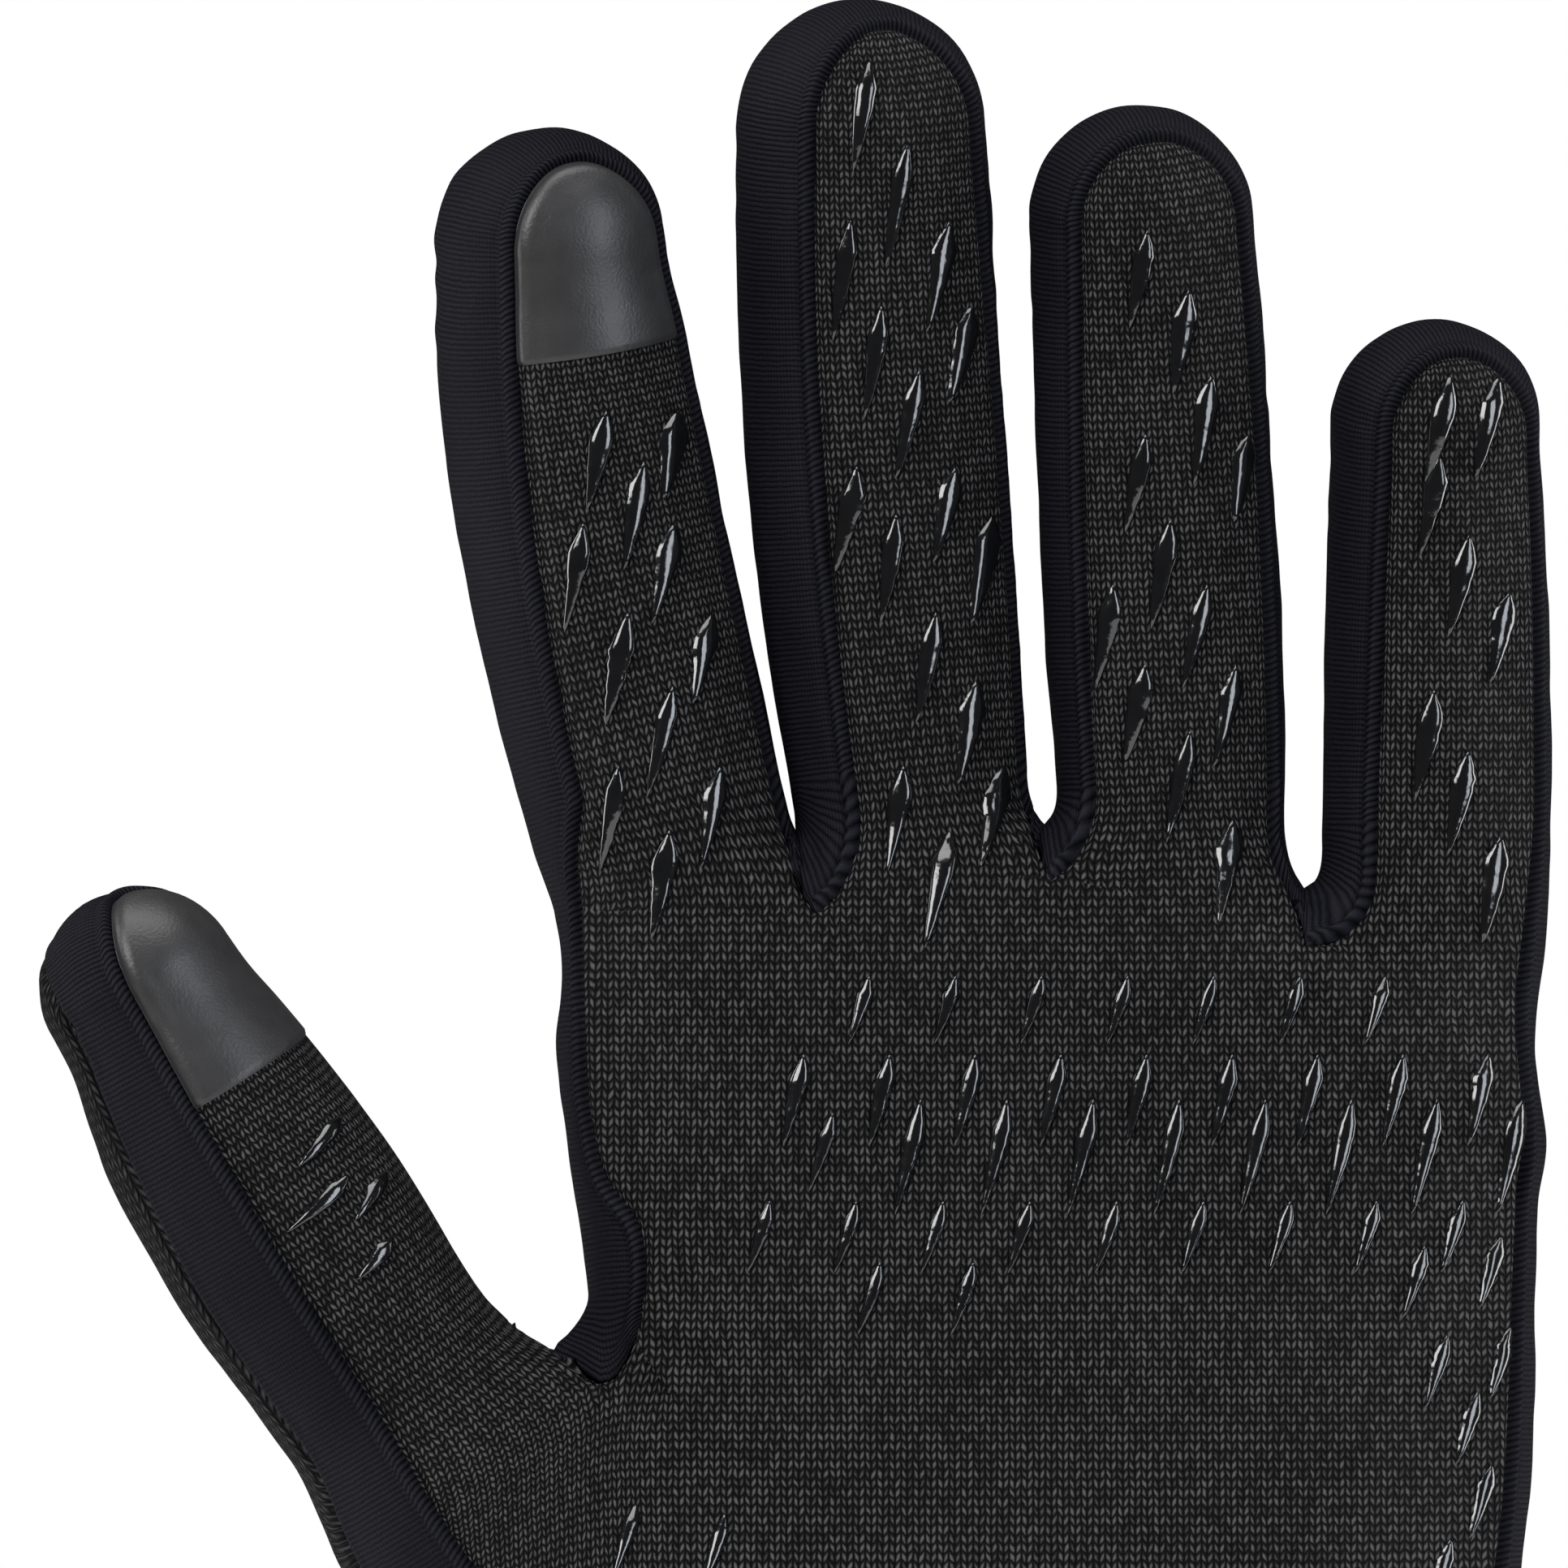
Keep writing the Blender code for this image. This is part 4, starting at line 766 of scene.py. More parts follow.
class Skin:
    """Patches of one fabric, joined where they meet. Each patch belongs to a piece."""

    def __init__(self):
        self.points, self.uv, self.faces, self.owner = [], [], [], []
        self.count = 0

    def add(self, piece, grid, uv):
        if not faces_out(grid):
            grid, uv = grid[:, ::-1], uv[:, ::-1]
        rows, columns = grid.shape[:2]
        index = np.arange(rows * columns).reshape(rows, columns) + self.count
        quads = np.stack([index[:-1, :-1], index[:-1, 1:], index[1:, 1:], index[1:, :-1]], axis=-1)
        self.points.append(grid.reshape(-1, 3))
        self.uv.append(uv.reshape(-1, 2))
        self.faces.append(quads.reshape(-1, 4))
        self.owner += [piece] * ((rows - 1) * (columns - 1))
        self.count += rows * columns

    def weld(self):
        points = np.concatenate(self.points)
        self.uv = np.concatenate(self.uv)
        self.corner = np.concatenate(self.faces)  # into uv
        self.owner = np.array(self.owner)
        _, first, index = np.unique(np.round(points / 0.005).astype(np.int64), axis=0,
                                    return_index=True, return_inverse=True)
        index = index.reshape(-1)
        self.p = points[first]
        self.quad = index[self.corner]
        a, b, c, d = self.quad.T
        good = (a != c) & (b != d) & ((a != b) | (c != d)) & ((b != c) | (d != a))
        self.quad, self.corner, self.owner = self.quad[good], self.corner[good], self.owner[good]
        return self

    def normals(self):
        a, b, c, d = (self.p[self.quad[:, k]] for k in range(4))
        face = np.cross(c - a, d - b)
        total = np.zeros_like(self.p)
        for k in range(4):
            for axis in range(3):
                total[:, axis] += np.bincount(self.quad[:, k], weights=face[:, axis], minlength=len(self.p))
        return unit(total)

    def boundary(self):
        """The open edges' points, every 0.1 mm or so."""
        edges = np.concatenate([self.quad[:, [k, (k + 1) % 4]] for k in range(4)])
        edges = edges[edges[:, 0] != edges[:, 1]]
        key = np.sort(edges, axis=1)
        _, first, count = np.unique(key, axis=0, return_index=True, return_counts=True)
        open_edges = edges[first[count == 1]]
        a, b = self.p[open_edges[:, 0]], self.p[open_edges[:, 1]]
        keep = np.minimum(a[:, 2], b[:, 2]) > WRIST_Z + 0.4
        a, b = a[keep], b[keep]
        return np.concatenate([mix(a, b, t) for t in (0.0, 0.2, 0.4, 0.6, 0.8)])

    def distance_to(self, seam, reach=4.0):
        tree = kdtree.KDTree(len(seam))
        for i, point in enumerate(seam):
            tree.insert(point, i)
        tree.balance()
        low, high = seam.min(0) - reach, seam.max(0) + reach
        near = ((self.p > low) & (self.p < high)).all(1)
        distance = np.full(len(self.p), 99.0)
        distance[near] = [tree.find(point)[2] for point in self.p[near]]
        return distance

    def lift(self, height):
        self.p = self.p + self.normals() * height[:, None]


def in_frame(points):
    return (np.asarray(points, float) - (ORIGIN_X, 0, 0)) * MM


def make_object(name, points, faces, material, uv=None, normals=None):
    """A mesh object from arrays, with a UV pair for each face corner."""
    mesh = bpy.data.meshes.new(name)
    polygons = [list(dict.fromkeys(f)) for f in np.asarray(faces).tolist()]
    mesh.from_pydata(in_frame(points).tolist(), [], polygons)
    mesh.materials.append(material)
    if uv is not None:
        layer = mesh.uv_layers.new(name="cloth")
        layer.data.foreach_set("uv", np.asarray(uv, np.float32).ravel())
    mesh.polygons.foreach_set("use_smooth", np.ones(len(mesh.polygons), bool))
    if normals is not None:
        mesh.normals_split_custom_set_from_vertices(normals.tolist())
    mesh.update()
    obj = bpy.data.objects.new(name, mesh)
    bpy.context.scene.collection.objects.link(obj)
    return obj


def corners_uv(faces, uv_index, uv):
    """UV pairs for the corners that a mesh keeps of quads, some of which are triangles."""
    loops = []
    for f, c in zip(faces.tolist(), uv_index.tolist()):
        seen = set()
        loops += [c[k] for k in range(4) if not (f[k] in seen or seen.add(f[k]))]
    return uv[np.array(loops)]


def cut_piece(skin, owners, name, material):
    """Some owners' faces as an object, shaded by the whole skin's normals so that cuts don't show."""
    chosen = np.isin(skin.owner, owners)
    quad, corner = skin.quad[chosen], skin.corner[chosen]
    used, local = np.unique(quad, return_inverse=True)
    local = local.reshape(quad.shape)
    return make_object(name, skin.p[used], local, material, corners_uv(local, corner, skin.uv),
                       skin.final_normals[used])


def cloth(points):
    """Cloth coordinates on the hand. About the thumb's crotch the cloth turns to follow the thumb."""
    x, _, z = thumb_crotch(-1)
    along = digit_frame("thumb", 0.0)[0]
    tilt = math.atan2(-along[0], along[2])
    dx, dz = points[..., 0] - x, points[..., 2] - z
    turn = (np.arctan2(dx, dz) + 0.35) % (2 * math.pi) - 0.35
    turn += tilt * smoothstep(turn, math.radians(165), math.radians(268))
    far = np.hypot(dx, dz)
    return np.stack([x + far * np.sin(turn), z + far * np.cos(turn)], axis=-1)


def finger_uv(name, s, angle):
    """Cloth coordinates on a digit: across it from its front, and along it."""
    radius = DIGITS[name]["radius"][1]
    base = cloth(digit_point(name, 0.0))
    return np.stack([base[0] + radius * np.radians(angle), base[1] + s], axis=-1)


def panel_uv(name, grid, facing):
    """Cloth coordinates at a digit's root: the palm's at its foot, the digit's further along."""
    s, angle = digit_coordinates(name, grid)
    angle = angle if facing < 0 else 180 - angle % 360
    low, high = (-10.0, 5.0) if name == "thumb" else (-4.0, COLLAR_TOP[name])
    weight = smoothstep(s, low, high)[..., None]
    return mix(cloth(grid), finger_uv(name, s, angle), weight)


def build_panel(facing):
    """The palm panel (facing -1) or the back (1), with the digits' parts of it."""
    skin = Skin()
    grid = palm_block(facing)[:, ::-facing]
    skin.add("hand", grid, cloth(grid))
    grid = thumb_block(facing)[:, ::-facing]
    skin.add("hand", grid, panel_uv("thumb", grid, facing))
    for name in DIGITS:
        grid = collar_grid(name, facing)
        skin.add("hand", grid, panel_uv(name, grid, facing))
        part = "front" if facing < 0 else "back"
        turn = (lambda angle: angle) if facing < 0 else (lambda angle: 180 - angle)
        padded = facing < 0 and name in PAD_BELOW_END
        for stage in ("lower", "upper"):
            grid, s, angle = shaft_grid(name, part, stage)
            uv, split = finger_uv(name, s, turn(angle)), len(grid) - 1
            if padded and stage == "upper":
                split = int(np.argmin(np.abs(s[:, 0] - digit_length(name) + PAD_BELOW_END[name])))
                skin.add(f"{name}_pad", grid[split:], uv[split:])
            skin.add(f"{name}_{stage}", grid[:split + 1], uv[:split + 1])
            edge = grid[-1]
        angle, rise = cap_coordinates(name, part, CAP_ROWS, PANEL_COLUMNS)
        grid = pinned(end_points(name, angle, rise), "bottom", edge)
        length = digit_length(name)
        along = length + np.radians(rise) * DIGITS[name]["radius"][2]
        spread = np.cos(np.radians(rise)) * 0.5 + 0.5
        middle = end_arch(name, part)[1]
        skin.add(f"{name}_pad" if padded else f"{name}_upper", grid,
                 finger_uv(name, along, turn(middle + (angle - middle) * spread)))
    return skin.weld()


def strip_uv(grid, start=0.0):
    """Cloth coordinates of a gusset: across it from the palm's side, and along its middle."""
    across = np.concatenate([np.zeros((len(grid), 1)),
                             np.cumsum(np.linalg.norm(np.diff(grid, axis=1), axis=-1), axis=1)], axis=1)
    steps = np.linalg.norm(np.diff(grid[:, grid.shape[1] // 2], axis=0), axis=-1)
    along = start + np.concatenate([[0], np.cumsum(steps)])
    return np.stack([across, along[:, None] + 0 * across], axis=-1)


def build_gussets():
    """The ribbed strips between the panels: down the sides and over the ends of the digits."""
    skin = Skin()

    def add_chain(pieces):
        start = 0.0
        for piece, grid in pieces:
            uv = strip_uv(grid, start)
            skin.add(piece, grid, uv)
            start = uv[-1, 0, 1]

    def shaft(name, part, stage, back=False):
        grid = shaft_grid(name, part, stage)[0]
        if part == "left_gusset":
            grid = grid[:, ::-1]
        return grid[::-1] if back else grid

    def over_tip(name):
        turns = PANEL_COLUMNS * 180
        grid = end_strip_grid(name, turns)
        grid[0] = shaft(name, "left_gusset", "upper")[-1]
        grid[-1] = shaft(name, "right_gusset", "upper")[-1]
        return grid

    palm_side, index_side, thumb_side = thumb_web_grids()
    little_low, little_high = little_edge_grids()
    thumb_low, thumb_high = thumb_edge_grids()
    webs = {pair: web_grid(*pair) for pair in zip(FINGERS[:-1], FINGERS[1:])}
    add_chain([("hand", thumb_side)])
    chain = [("hand", palm_side), ("hand", index_side)]
    for k, name in enumerate(FINGERS):
        chain += [(f"{name}_lower", shaft(name, "left_gusset", "lower")),
                  (f"{name}_upper", shaft(name, "left_gusset", "upper")),
                  (f"{name}_upper", over_tip(name)),
                  (f"{name}_upper", shaft(name, "right_gusset", "upper", True)),
                  (f"{name}_lower", shaft(name, "right_gusset", "lower", True))]
        if name != "little":
            down, up = webs[(name, FINGERS[k + 1])]
            chain += [("hand", down[::-1]), ("hand", up)]
    chain += [("hand", little_high[::-1]), ("hand", little_low[::-1])]
    add_chain(chain)
    add_chain([("hand", thumb_low), ("hand", thumb_high),
               ("thumb_lower", shaft("thumb", "left_gusset", "lower")),
               ("thumb_upper", shaft("thumb", "left_gusset", "upper")), ("thumb_upper", over_tip("thumb")),
               ("thumb_upper", shaft("thumb", "right_gusset", "upper", True)),
               ("thumb_lower", shaft("thumb", "right_gusset", "lower", True))])
    return skin.weld()


def distances(skins):
    """How far each point of each skin is from the palm panel's seam and from the back's."""
    front, back = skins["front"].boundary(), skins["back"].boundary()
    for skin in skins.values():
        skin.to_front, skin.to_back = skin.distance_to(front), skin.distance_to(back)


def bump(d, at, width):
    return np.exp(-((d - at) / width) ** 2)


def crotch_pucker(skin):
    """Small folds that fan out below the fingers' crotches and at the thumb's."""
    total = np.zeros(len(skin.p))
    for k, (x, _, z) in enumerate(crotch_points(-1)[1:4]):
        dx, dz = skin.p[:, 0] - x, skin.p[:, 2] - z
        far = np.hypot(dx, dz)
        turn = np.arctan2(dx, -dz)
        fade = np.exp(-(far / 11.0) ** 2) * smoothstep(far, 0.8, 4.0)
        fade = fade * (np.abs(turn) < 1.9) * (skin.p[:, 1] < 0)
        total += fade * (0.32 * np.cos(turn * 5.0 + k) + 0.2 * np.sin(turn * 8.0 + 2 * k))
    x, _, z = thumb_crotch(-1)
    dx, dz = skin.p[:, 0] - x, skin.p[:, 2] - z
    far, turn = np.hypot(dx, dz), np.arctan2(dz, dx)
    fade = np.exp(-(far / 16.0) ** 2) * smoothstep(far, 1.0, 6.0) * (skin.p[:, 1] < 0)
    return total + fade * 0.3 * np.sin(turn * 6.0 + 0.6)


def tip_creases(skin):
    """Soft creases across the gusset at the upper left of the fingertips, and a little above the palm."""
    total = np.zeros(len(skin.p))
    for k, (name, amount) in enumerate((("index", 0.26), ("middle", 0.08), ("ring", 0.1), ("little", 0.1),
                                        ("thumb", 0.26))):
        end = digit_point(name, digit_length(name) + 1.0)
        reach = skin.p - end
        far = np.linalg.norm(reach, axis=1)
        near = far < 26
        angle = digit_coordinates(name, skin.p[near])[1]
        rise = (reach[near] * digit_frame(name, digit_length(name))[0]).sum(1)
        side = np.cos(np.radians(angle + 95))
        fade = smoothstep(side, 0.1, 0.75) * np.exp(-((rise + 1.0) / 8.5) ** 2)
        ripple = np.sin(rise * 1.15 + 1.6 * np.sin(angle * 0.06 + rise * 0.23 + k) + k)
        uneven = 0.55 + 0.45 * waves(skin.p[near], 7.0, 20 + k)
        total[near] += amount * fade * uneven * (0.7 * ripple + 0.3 * np.sin(rise * 2.1 + angle * 0.05 + 2 * k))
    return total


def shape_skins(skins):
    """Seams sunk between rolled edges, and the cloth's small waves and creases."""
    front, back, gussets = skins["front"], skins["back"], skins["gussets"]
    slack = {name: smoothstep(np.minimum(skin.to_front, skin.to_back), 0.5, 4.0)
             for name, skin in skins.items()}
    rolled = waves(gussets.p, 2.6, 5)
    front.height = (-0.55 * bump(front.to_front, 0, 0.55) + 0.13 * bump(front.to_front, 1.5, 0.8)
                    + crotch_pucker(front) + slack["front"] * (0.16 * waves(front.p, 15.0, 1)
                                                               + 0.05 * waves(front.p, 5.0, 2)))
    bead = (0.42 + 0.05 * rolled) * bump(gussets.to_front, 0.85, 0.5)
    gussets.height = (-0.6 * bump(gussets.to_front, 0, 0.3) + bead
                      - 0.14 * bump(gussets.to_front, 1.75, 0.35)
                      - 0.4 * bump(gussets.to_back, 0, 0.3) + 0.16 * bump(gussets.to_back, 0.8, 0.5)
                      + tip_creases(gussets)
                      + slack["gussets"] * (0.14 * waves(gussets.p, 12.0, 3) + 0.04 * waves(gussets.p, 4.5, 4)))
    back.height = (-0.4 * bump(back.to_back, 0, 0.5) + 0.1 * bump(back.to_back, 1.3, 0.8)
                   + slack["back"] * (0.2 * waves(back.p, 16.0, 6) + 0.06 * waves(back.p, 6.0, 7)))
    for skin in skins.values():
        skin.lift(skin.height)
        skin.final_normals = skin.normals()


# ---------------------------------------------------------------- materials

class Nodes:
    """A material's node tree, written as sums."""

    def __init__(self, name):
        self.material = bpy.data.materials.new(name)
        self.material.use_nodes = True
        self.tree = self.material.node_tree
        self.shader = self.tree.nodes["Principled BSDF"]

    def add(self, kind, inputs=(), **settings):
        node = self.tree.nodes.new(kind)
        for key, value in settings.items():
            setattr(node, key, value)
        for key, value in dict(inputs).items():
            if isinstance(value, bpy.types.NodeSocket):
                self.tree.links.new(value, node.inputs[key])
            else:
                node.inputs[key].default_value = value
        return node

    def math(self, operation, *values):
        return self.add("ShaderNodeMath", enumerate(values), operation=operation).outputs[0]

    def uv(self):
        split = self.add("ShaderNodeSeparateXYZ", {0: self.add("ShaderNodeUVMap", uv_map="cloth").outputs[0]})
        return split.outputs[0], split.outputs[1]

    def noise(self, scale, detail=2.0, vector=None, out=0):
        vector = vector or self.add("ShaderNodeTexCoord").outputs["Object"]
        return self.add("ShaderNodeTexNoise", {"Vector": vector, "Scale": scale, "Detail": detail}).outputs[out]

    def ramp(self, value, *stops):
        node = self.add("ShaderNodeValToRGB", {0: value})
        elements = node.color_ramp.elements
        while len(elements) < len(stops):
            elements.new(0.5)
        for element, (at, colour) in zip(elements, stops):
            element.position, element.color = at, (*colour, 1)
        return node.outputs[0]

    def waves_along(self, value, pitch):
        """Round ribs from 0 to 1, one every pitch."""
        return self.math("ABSOLUTE", self.math("SINE", self.math("MULTIPLY", value, math.pi / pitch)))

    def between(self, factor, a, b):
        """a where factor is 0, b where it is 1."""
        return self.math("ADD", self.math("MULTIPLY", self.math("SUBTRACT", 1.0, factor), a),
                         self.math("MULTIPLY", factor, b))

    def step(self, value, low, high):
        node = self.add("ShaderNodeMapRange", {0: value, 1: low, 2: high}, interpolation_type="SMOOTHSTEP")
        return node.outputs[0]

    def finish(self, colour, roughness, height=None, depth=0.0, **constants):
        pins = self.shader.inputs
        for key, value in {"Base Color": colour, "Roughness": roughness}.items():
            if isinstance(value, bpy.types.NodeSocket):
                self.tree.links.new(value, pins[key])
            else:
                pins[key].default_value = (*value, 1) if key == "Base Color" else value
        if height is not None:
            bump_node = self.add("ShaderNodeBump", {"Height": height, "Distance": depth * MM, "Strength": 1.0})
            self.tree.links.new(bump_node.outputs[0], pins["Normal"])
        for key, value in constants.items():
            pins[key.replace("_", " ")].default_value = value
        return self.material


STITCH = {"palm": (1.12, 0.86), "back": (1.6, 1.2), "cuff": (0.95, 0.7)}  # width and height of a stitch
GUSSET_RIB, GUSSET_LOOP, BEAD_STITCH, BEAD_EDGE = 0.5, 0.4, 0.62, (1.35, 1.65)
CUFF_RIB = 1.9
WEBBING_PICKS, SATIN_PICK = (0.0009, 0.0007), 0.0003  # metres


def stitches(nodes, u, v, wale, course, slant=0.62):
    """Jersey knit: columns of V-shaped stitches, each leg a teardrop. Gives its height and a random value."""
    column = nodes.math("DIVIDE", u, wale)
    across = nodes.math("FRACT", column)
    side = nodes.math("ABSOLUTE", nodes.math("SUBTRACT", nodes.math("MULTIPLY", across, 2.0), 1.0))
    row = nodes.math("SUBTRACT", nodes.math("DIVIDE", v, course), nodes.math("MULTIPLY", side, slant))
    along = nodes.math("FRACT", row)
    off_leg = nodes.math("ABSOLUTE", nodes.math("SUBTRACT", nodes.math("MULTIPLY", side, 2.0), 1.0))
    width = nodes.math("SUBTRACT", 1.0, nodes.math("POWER", off_leg, 2.6))
    lobe = nodes.math("SINE", nodes.math("MULTIPLY", nodes.math("POWER", along, 0.8), math.pi))
    height = nodes.math("MULTIPLY", width, nodes.math("POWER", nodes.math("MAXIMUM", lobe, 0.0), 0.7))
    leg = nodes.math("FLOOR", nodes.math("MULTIPLY", column, 2.0))
    cell = nodes.add("ShaderNodeCombineXYZ", {0: leg, 1: nodes.math("FLOOR", row)}).outputs[0]
    return height, nodes.add("ShaderNodeTexWhiteNoise", {"Vector": cell}, noise_dimensions="2D").outputs[0]


def palm_knit():
    nodes = Nodes("palm_knit")
    u, v = nodes.uv()
    wobble = nodes.math("MULTIPLY", nodes.math("SUBTRACT", nodes.noise(900.0), 0.5), 0.34)
    u, v = nodes.math("ADD", u, wobble), nodes.math("ADD", v, wobble)
    height, chance = stitches(nodes, u, v, *STITCH["palm"])
    strands = nodes.noise(5200.0, 1.0)
    uneven = nodes.math("ADD", 0.72, nodes.math("MULTIPLY", chance, 0.4))
    # Painted shade and highlight: the colour follows the stitches' height, near black in the gaps between their
    # legs and light on their tops. The random tone of each stitch, the strands and the patches are the yarn's
    # own.
    shade = nodes.math("ADD", nodes.math("MULTIPLY", height, uneven),
                       nodes.math("MULTIPLY", nodes.math("SUBTRACT", strands, 0.5), 0.35))
    patches = nodes.math("MULTIPLY", nodes.math("SUBTRACT", nodes.noise(55.0, 3.0), 0.5), 0.25)
    colour = nodes.ramp(nodes.math("ADD", shade, patches), (0.15, (0.0009, 0.0009, 0.001)),
                        (0.55, (0.0085, 0.0082, 0.0085)), (1.0, (0.062, 0.06, 0.061)))
    relief = nodes.math("ADD", height, nodes.math("MULTIPLY", strands, 0.16))
    return nodes.finish(colour, 0.72, relief, 0.4, Specular_IOR_Level=0.07)


def stretch_rib():
    nodes = Nodes("stretch_rib")
    u, v = nodes.uv()
    wobble = nodes.math("MULTIPLY", nodes.math("SUBTRACT", nodes.noise(700.0), 0.5), 0.22)
    v = nodes.math("ADD", v, wobble)
    rib = nodes.waves_along(v, GUSSET_RIB)
    rib = nodes.math("ADD", nodes.math("MULTIPLY", rib, 0.65), 0.2)
    loops = nodes.waves_along(u, GUSSET_LOOP)
    flat = nodes.math("ADD", nodes.math("MULTIPLY", rib, 0.85), nodes.math("MULTIPLY", loops, 0.15))
    slanted = nodes.math("ADD", nodes.math("DIVIDE", v, BEAD_STITCH), nodes.math("MULTIPLY", u, 0.75))
    stitch = nodes.math("ABSOLUTE", nodes.math("SINE", nodes.math("MULTIPLY", slanted, math.pi)))
    bead = nodes.math("SUBTRACT", 1.0, nodes.step(u, *BEAD_EDGE))
    height = nodes.between(bead, flat, stitch)
    strands = nodes.noise(6000.0, 1.0)
    # Painted shade: the colour follows the ribs' and bead stitches' height, dark between them and lighter on
    # their tops. The strands and the patches are the yarn's own tone.
    shade = nodes.math("ADD", height, nodes.math("MULTIPLY", nodes.math("SUBTRACT", strands, 0.5), 0.5))
    patches = nodes.math("MULTIPLY", nodes.math("SUBTRACT", nodes.noise(60.0, 3.0), 0.5), 0.4)
    shade = nodes.math("ADD", shade, patches)
    colour = nodes.ramp(shade, (0.1, (0.0007, 0.0007, 0.0013)), (0.6, (0.0034, 0.0034, 0.0056)),
                        (1.0, (0.0085, 0.0085, 0.0125)))
    relief = nodes.math("ADD", height, nodes.math("MULTIPLY", strands, 0.1))
    return nodes.finish(colour, 0.6, relief, 0.16, Specular_IOR_Level=0.06)


def back_knit():
    nodes = Nodes("back_knit")
    u, v = nodes.uv()
    wobble = nodes.math("MULTIPLY", nodes.math("SUBTRACT", nodes.noise(600.0), 0.5), 0.3)
    u, v = nodes.math("ADD", u, wobble), nodes.math("ADD", v, wobble)
    height, chance = stitches(nodes, u, v, *STITCH["back"], 0.9)
    strands = nodes.noise(4800.0, 1.0)
    # Painted shade and highlight: the colour follows the stitches' height, near black in their gaps and lighter
    # on their tops. Each stitch's random tone and the strands are the yarn's own.
    shade = nodes.math("MULTIPLY", height, nodes.math("ADD", 0.75, nodes.math("MULTIPLY", chance, 0.3)))
    shade = nodes.math("ADD", shade, nodes.math("MULTIPLY", nodes.math("SUBTRACT", strands, 0.5), 0.3))
    colour = nodes.ramp(shade, (0.15, (0.0008, 0.0008, 0.001)), (0.6, (0.0062, 0.0062, 0.0068)),
                        (1.0, (0.030, 0.030, 0.032)))
    relief = nodes.math("ADD", height, nodes.math("MULTIPLY", strands, 0.14))
    return nodes.finish(colour, 0.72, relief, 0.4, Specular_IOR_Level=0.07)


def touch_film():
    nodes = Nodes("touch_film")
    grain = nodes.math("ADD", nodes.noise(3600.0, 2.0), nodes.math("MULTIPLY", nodes.noise(900.0, 2.0), 0.6))
    colour = nodes.ramp(nodes.noise(420.0, 4.0), (0.3, (0.017, 0.0166, 0.0172)), (0.7, (0.023, 0.0226, 0.0232)))
    roughness = nodes.between(nodes.noise(300.0, 3.0), 0.34, 0.44)
    return nodes.finish(colour, roughness, grain, 0.035, Specular_IOR_Level=0.36)


def grip_silicone():
    nodes = Nodes("grip_silicone")
    ripple = nodes.noise(700.0, 2.0)
    colour = nodes.ramp(nodes.noise(500.0), (0.3, (0.0022, 0.0023, 0.0027)), (0.7, (0.0036, 0.0037, 0.0042)))
    roughness = nodes.between(nodes.noise(260.0, 2.0), 0.07, 0.17)
    return nodes.finish(colour, roughness, ripple, 0.09, Specular_IOR_Level=0.5, Coat_Weight=0.5,
                        Coat_Roughness=0.05)


def elastic_webbing():
    nodes = Nodes("elastic_webbing")
    place = nodes.add("ShaderNodeSeparateXYZ", {0: nodes.add("ShaderNodeTexCoord").outputs["Object"]})
    rows = nodes.waves_along(place.outputs[2], WEBBING_PICKS[0])
    columns = nodes.waves_along(place.outputs[0], WEBBING_PICKS[1])
    height = nodes.math("MULTIPLY", rows, nodes.math("ADD", 0.5, nodes.math("MULTIPLY", columns, 0.5)))
    # Painted shade: the colour follows the weave's height, dark between its picks and lighter on them.
    colour = nodes.ramp(height, (0.1, (0.003, 0.003, 0.0034)), (1.0, (0.024, 0.024, 0.026)))
    return nodes.finish(colour, 0.7, height, 0.25, Specular_IOR_Level=0.3)


def label_satin():
    nodes = Nodes("label_satin")
    place = nodes.add("ShaderNodeSeparateXYZ", {0: nodes.add("ShaderNodeTexCoord").outputs["Object"]})
    rows = nodes.waves_along(place.outputs[2], SATIN_PICK)
    colour = nodes.ramp(nodes.noise(300.0, 3.0), (0.3, (0.62, 0.61, 0.58)), (0.7, (0.72, 0.71, 0.68)))
    return nodes.finish(colour, 0.42, rows, 0.02, Specular_IOR_Level=0.5, Anisotropic=0.4)


def cuff_rib():
    nodes = Nodes("cuff_rib")
    u, v = nodes.uv()
    rib = nodes.waves_along(u, CUFF_RIB)
    height = stitches(nodes, u, v, *STITCH["cuff"])[0]
    strands = nodes.noise(5600.0, 1.0)
    relief = nodes.math("ADD", nodes.math("MULTIPLY", nodes.math("POWER", rib, 0.6), 1.4),
                        nodes.math("MULTIPLY", height, 0.45))
    # Painted shade: the colour follows the ribs' and stitches' relief, dark between the ribs and lighter on
    # them. The strands are the yarn's own tone.
    shade = nodes.math("ADD", nodes.math("MULTIPLY", relief, 0.45), nodes.math("MULTIPLY", strands, 0.2))
    colour = nodes.ramp(shade, (0.1, (0.0008, 0.0008, 0.0014)), (0.6, (0.0036, 0.0037, 0.0058)),
                        (1.0, (0.0092, 0.0094, 0.0135)))
    return nodes.finish(colour, 0.68, relief, 0.42, Specular_IOR_Level=0.06)


def thread():
    nodes = Nodes("sewing_thread")
    place = nodes.add("ShaderNodeTexCoord").outputs["Object"]
    twist = nodes.add("ShaderNodeTexWave", {"Vector": place, "Scale": 900.0, "Distortion": 1.5},
                      bands_direction="DIAGONAL").outputs[1]
    # Painted shade: the colour follows the twist's height, dark in its grooves and lighter on its plies.
    colour = nodes.ramp(twist, (0.2, (0.004, 0.004, 0.006)), (0.9, (0.02, 0.021, 0.027)))
    return nodes.finish(colour, 0.5, twist, 0.05, Specular_IOR_Level=0.4)


# ---------------------------------------------------------------- pieces

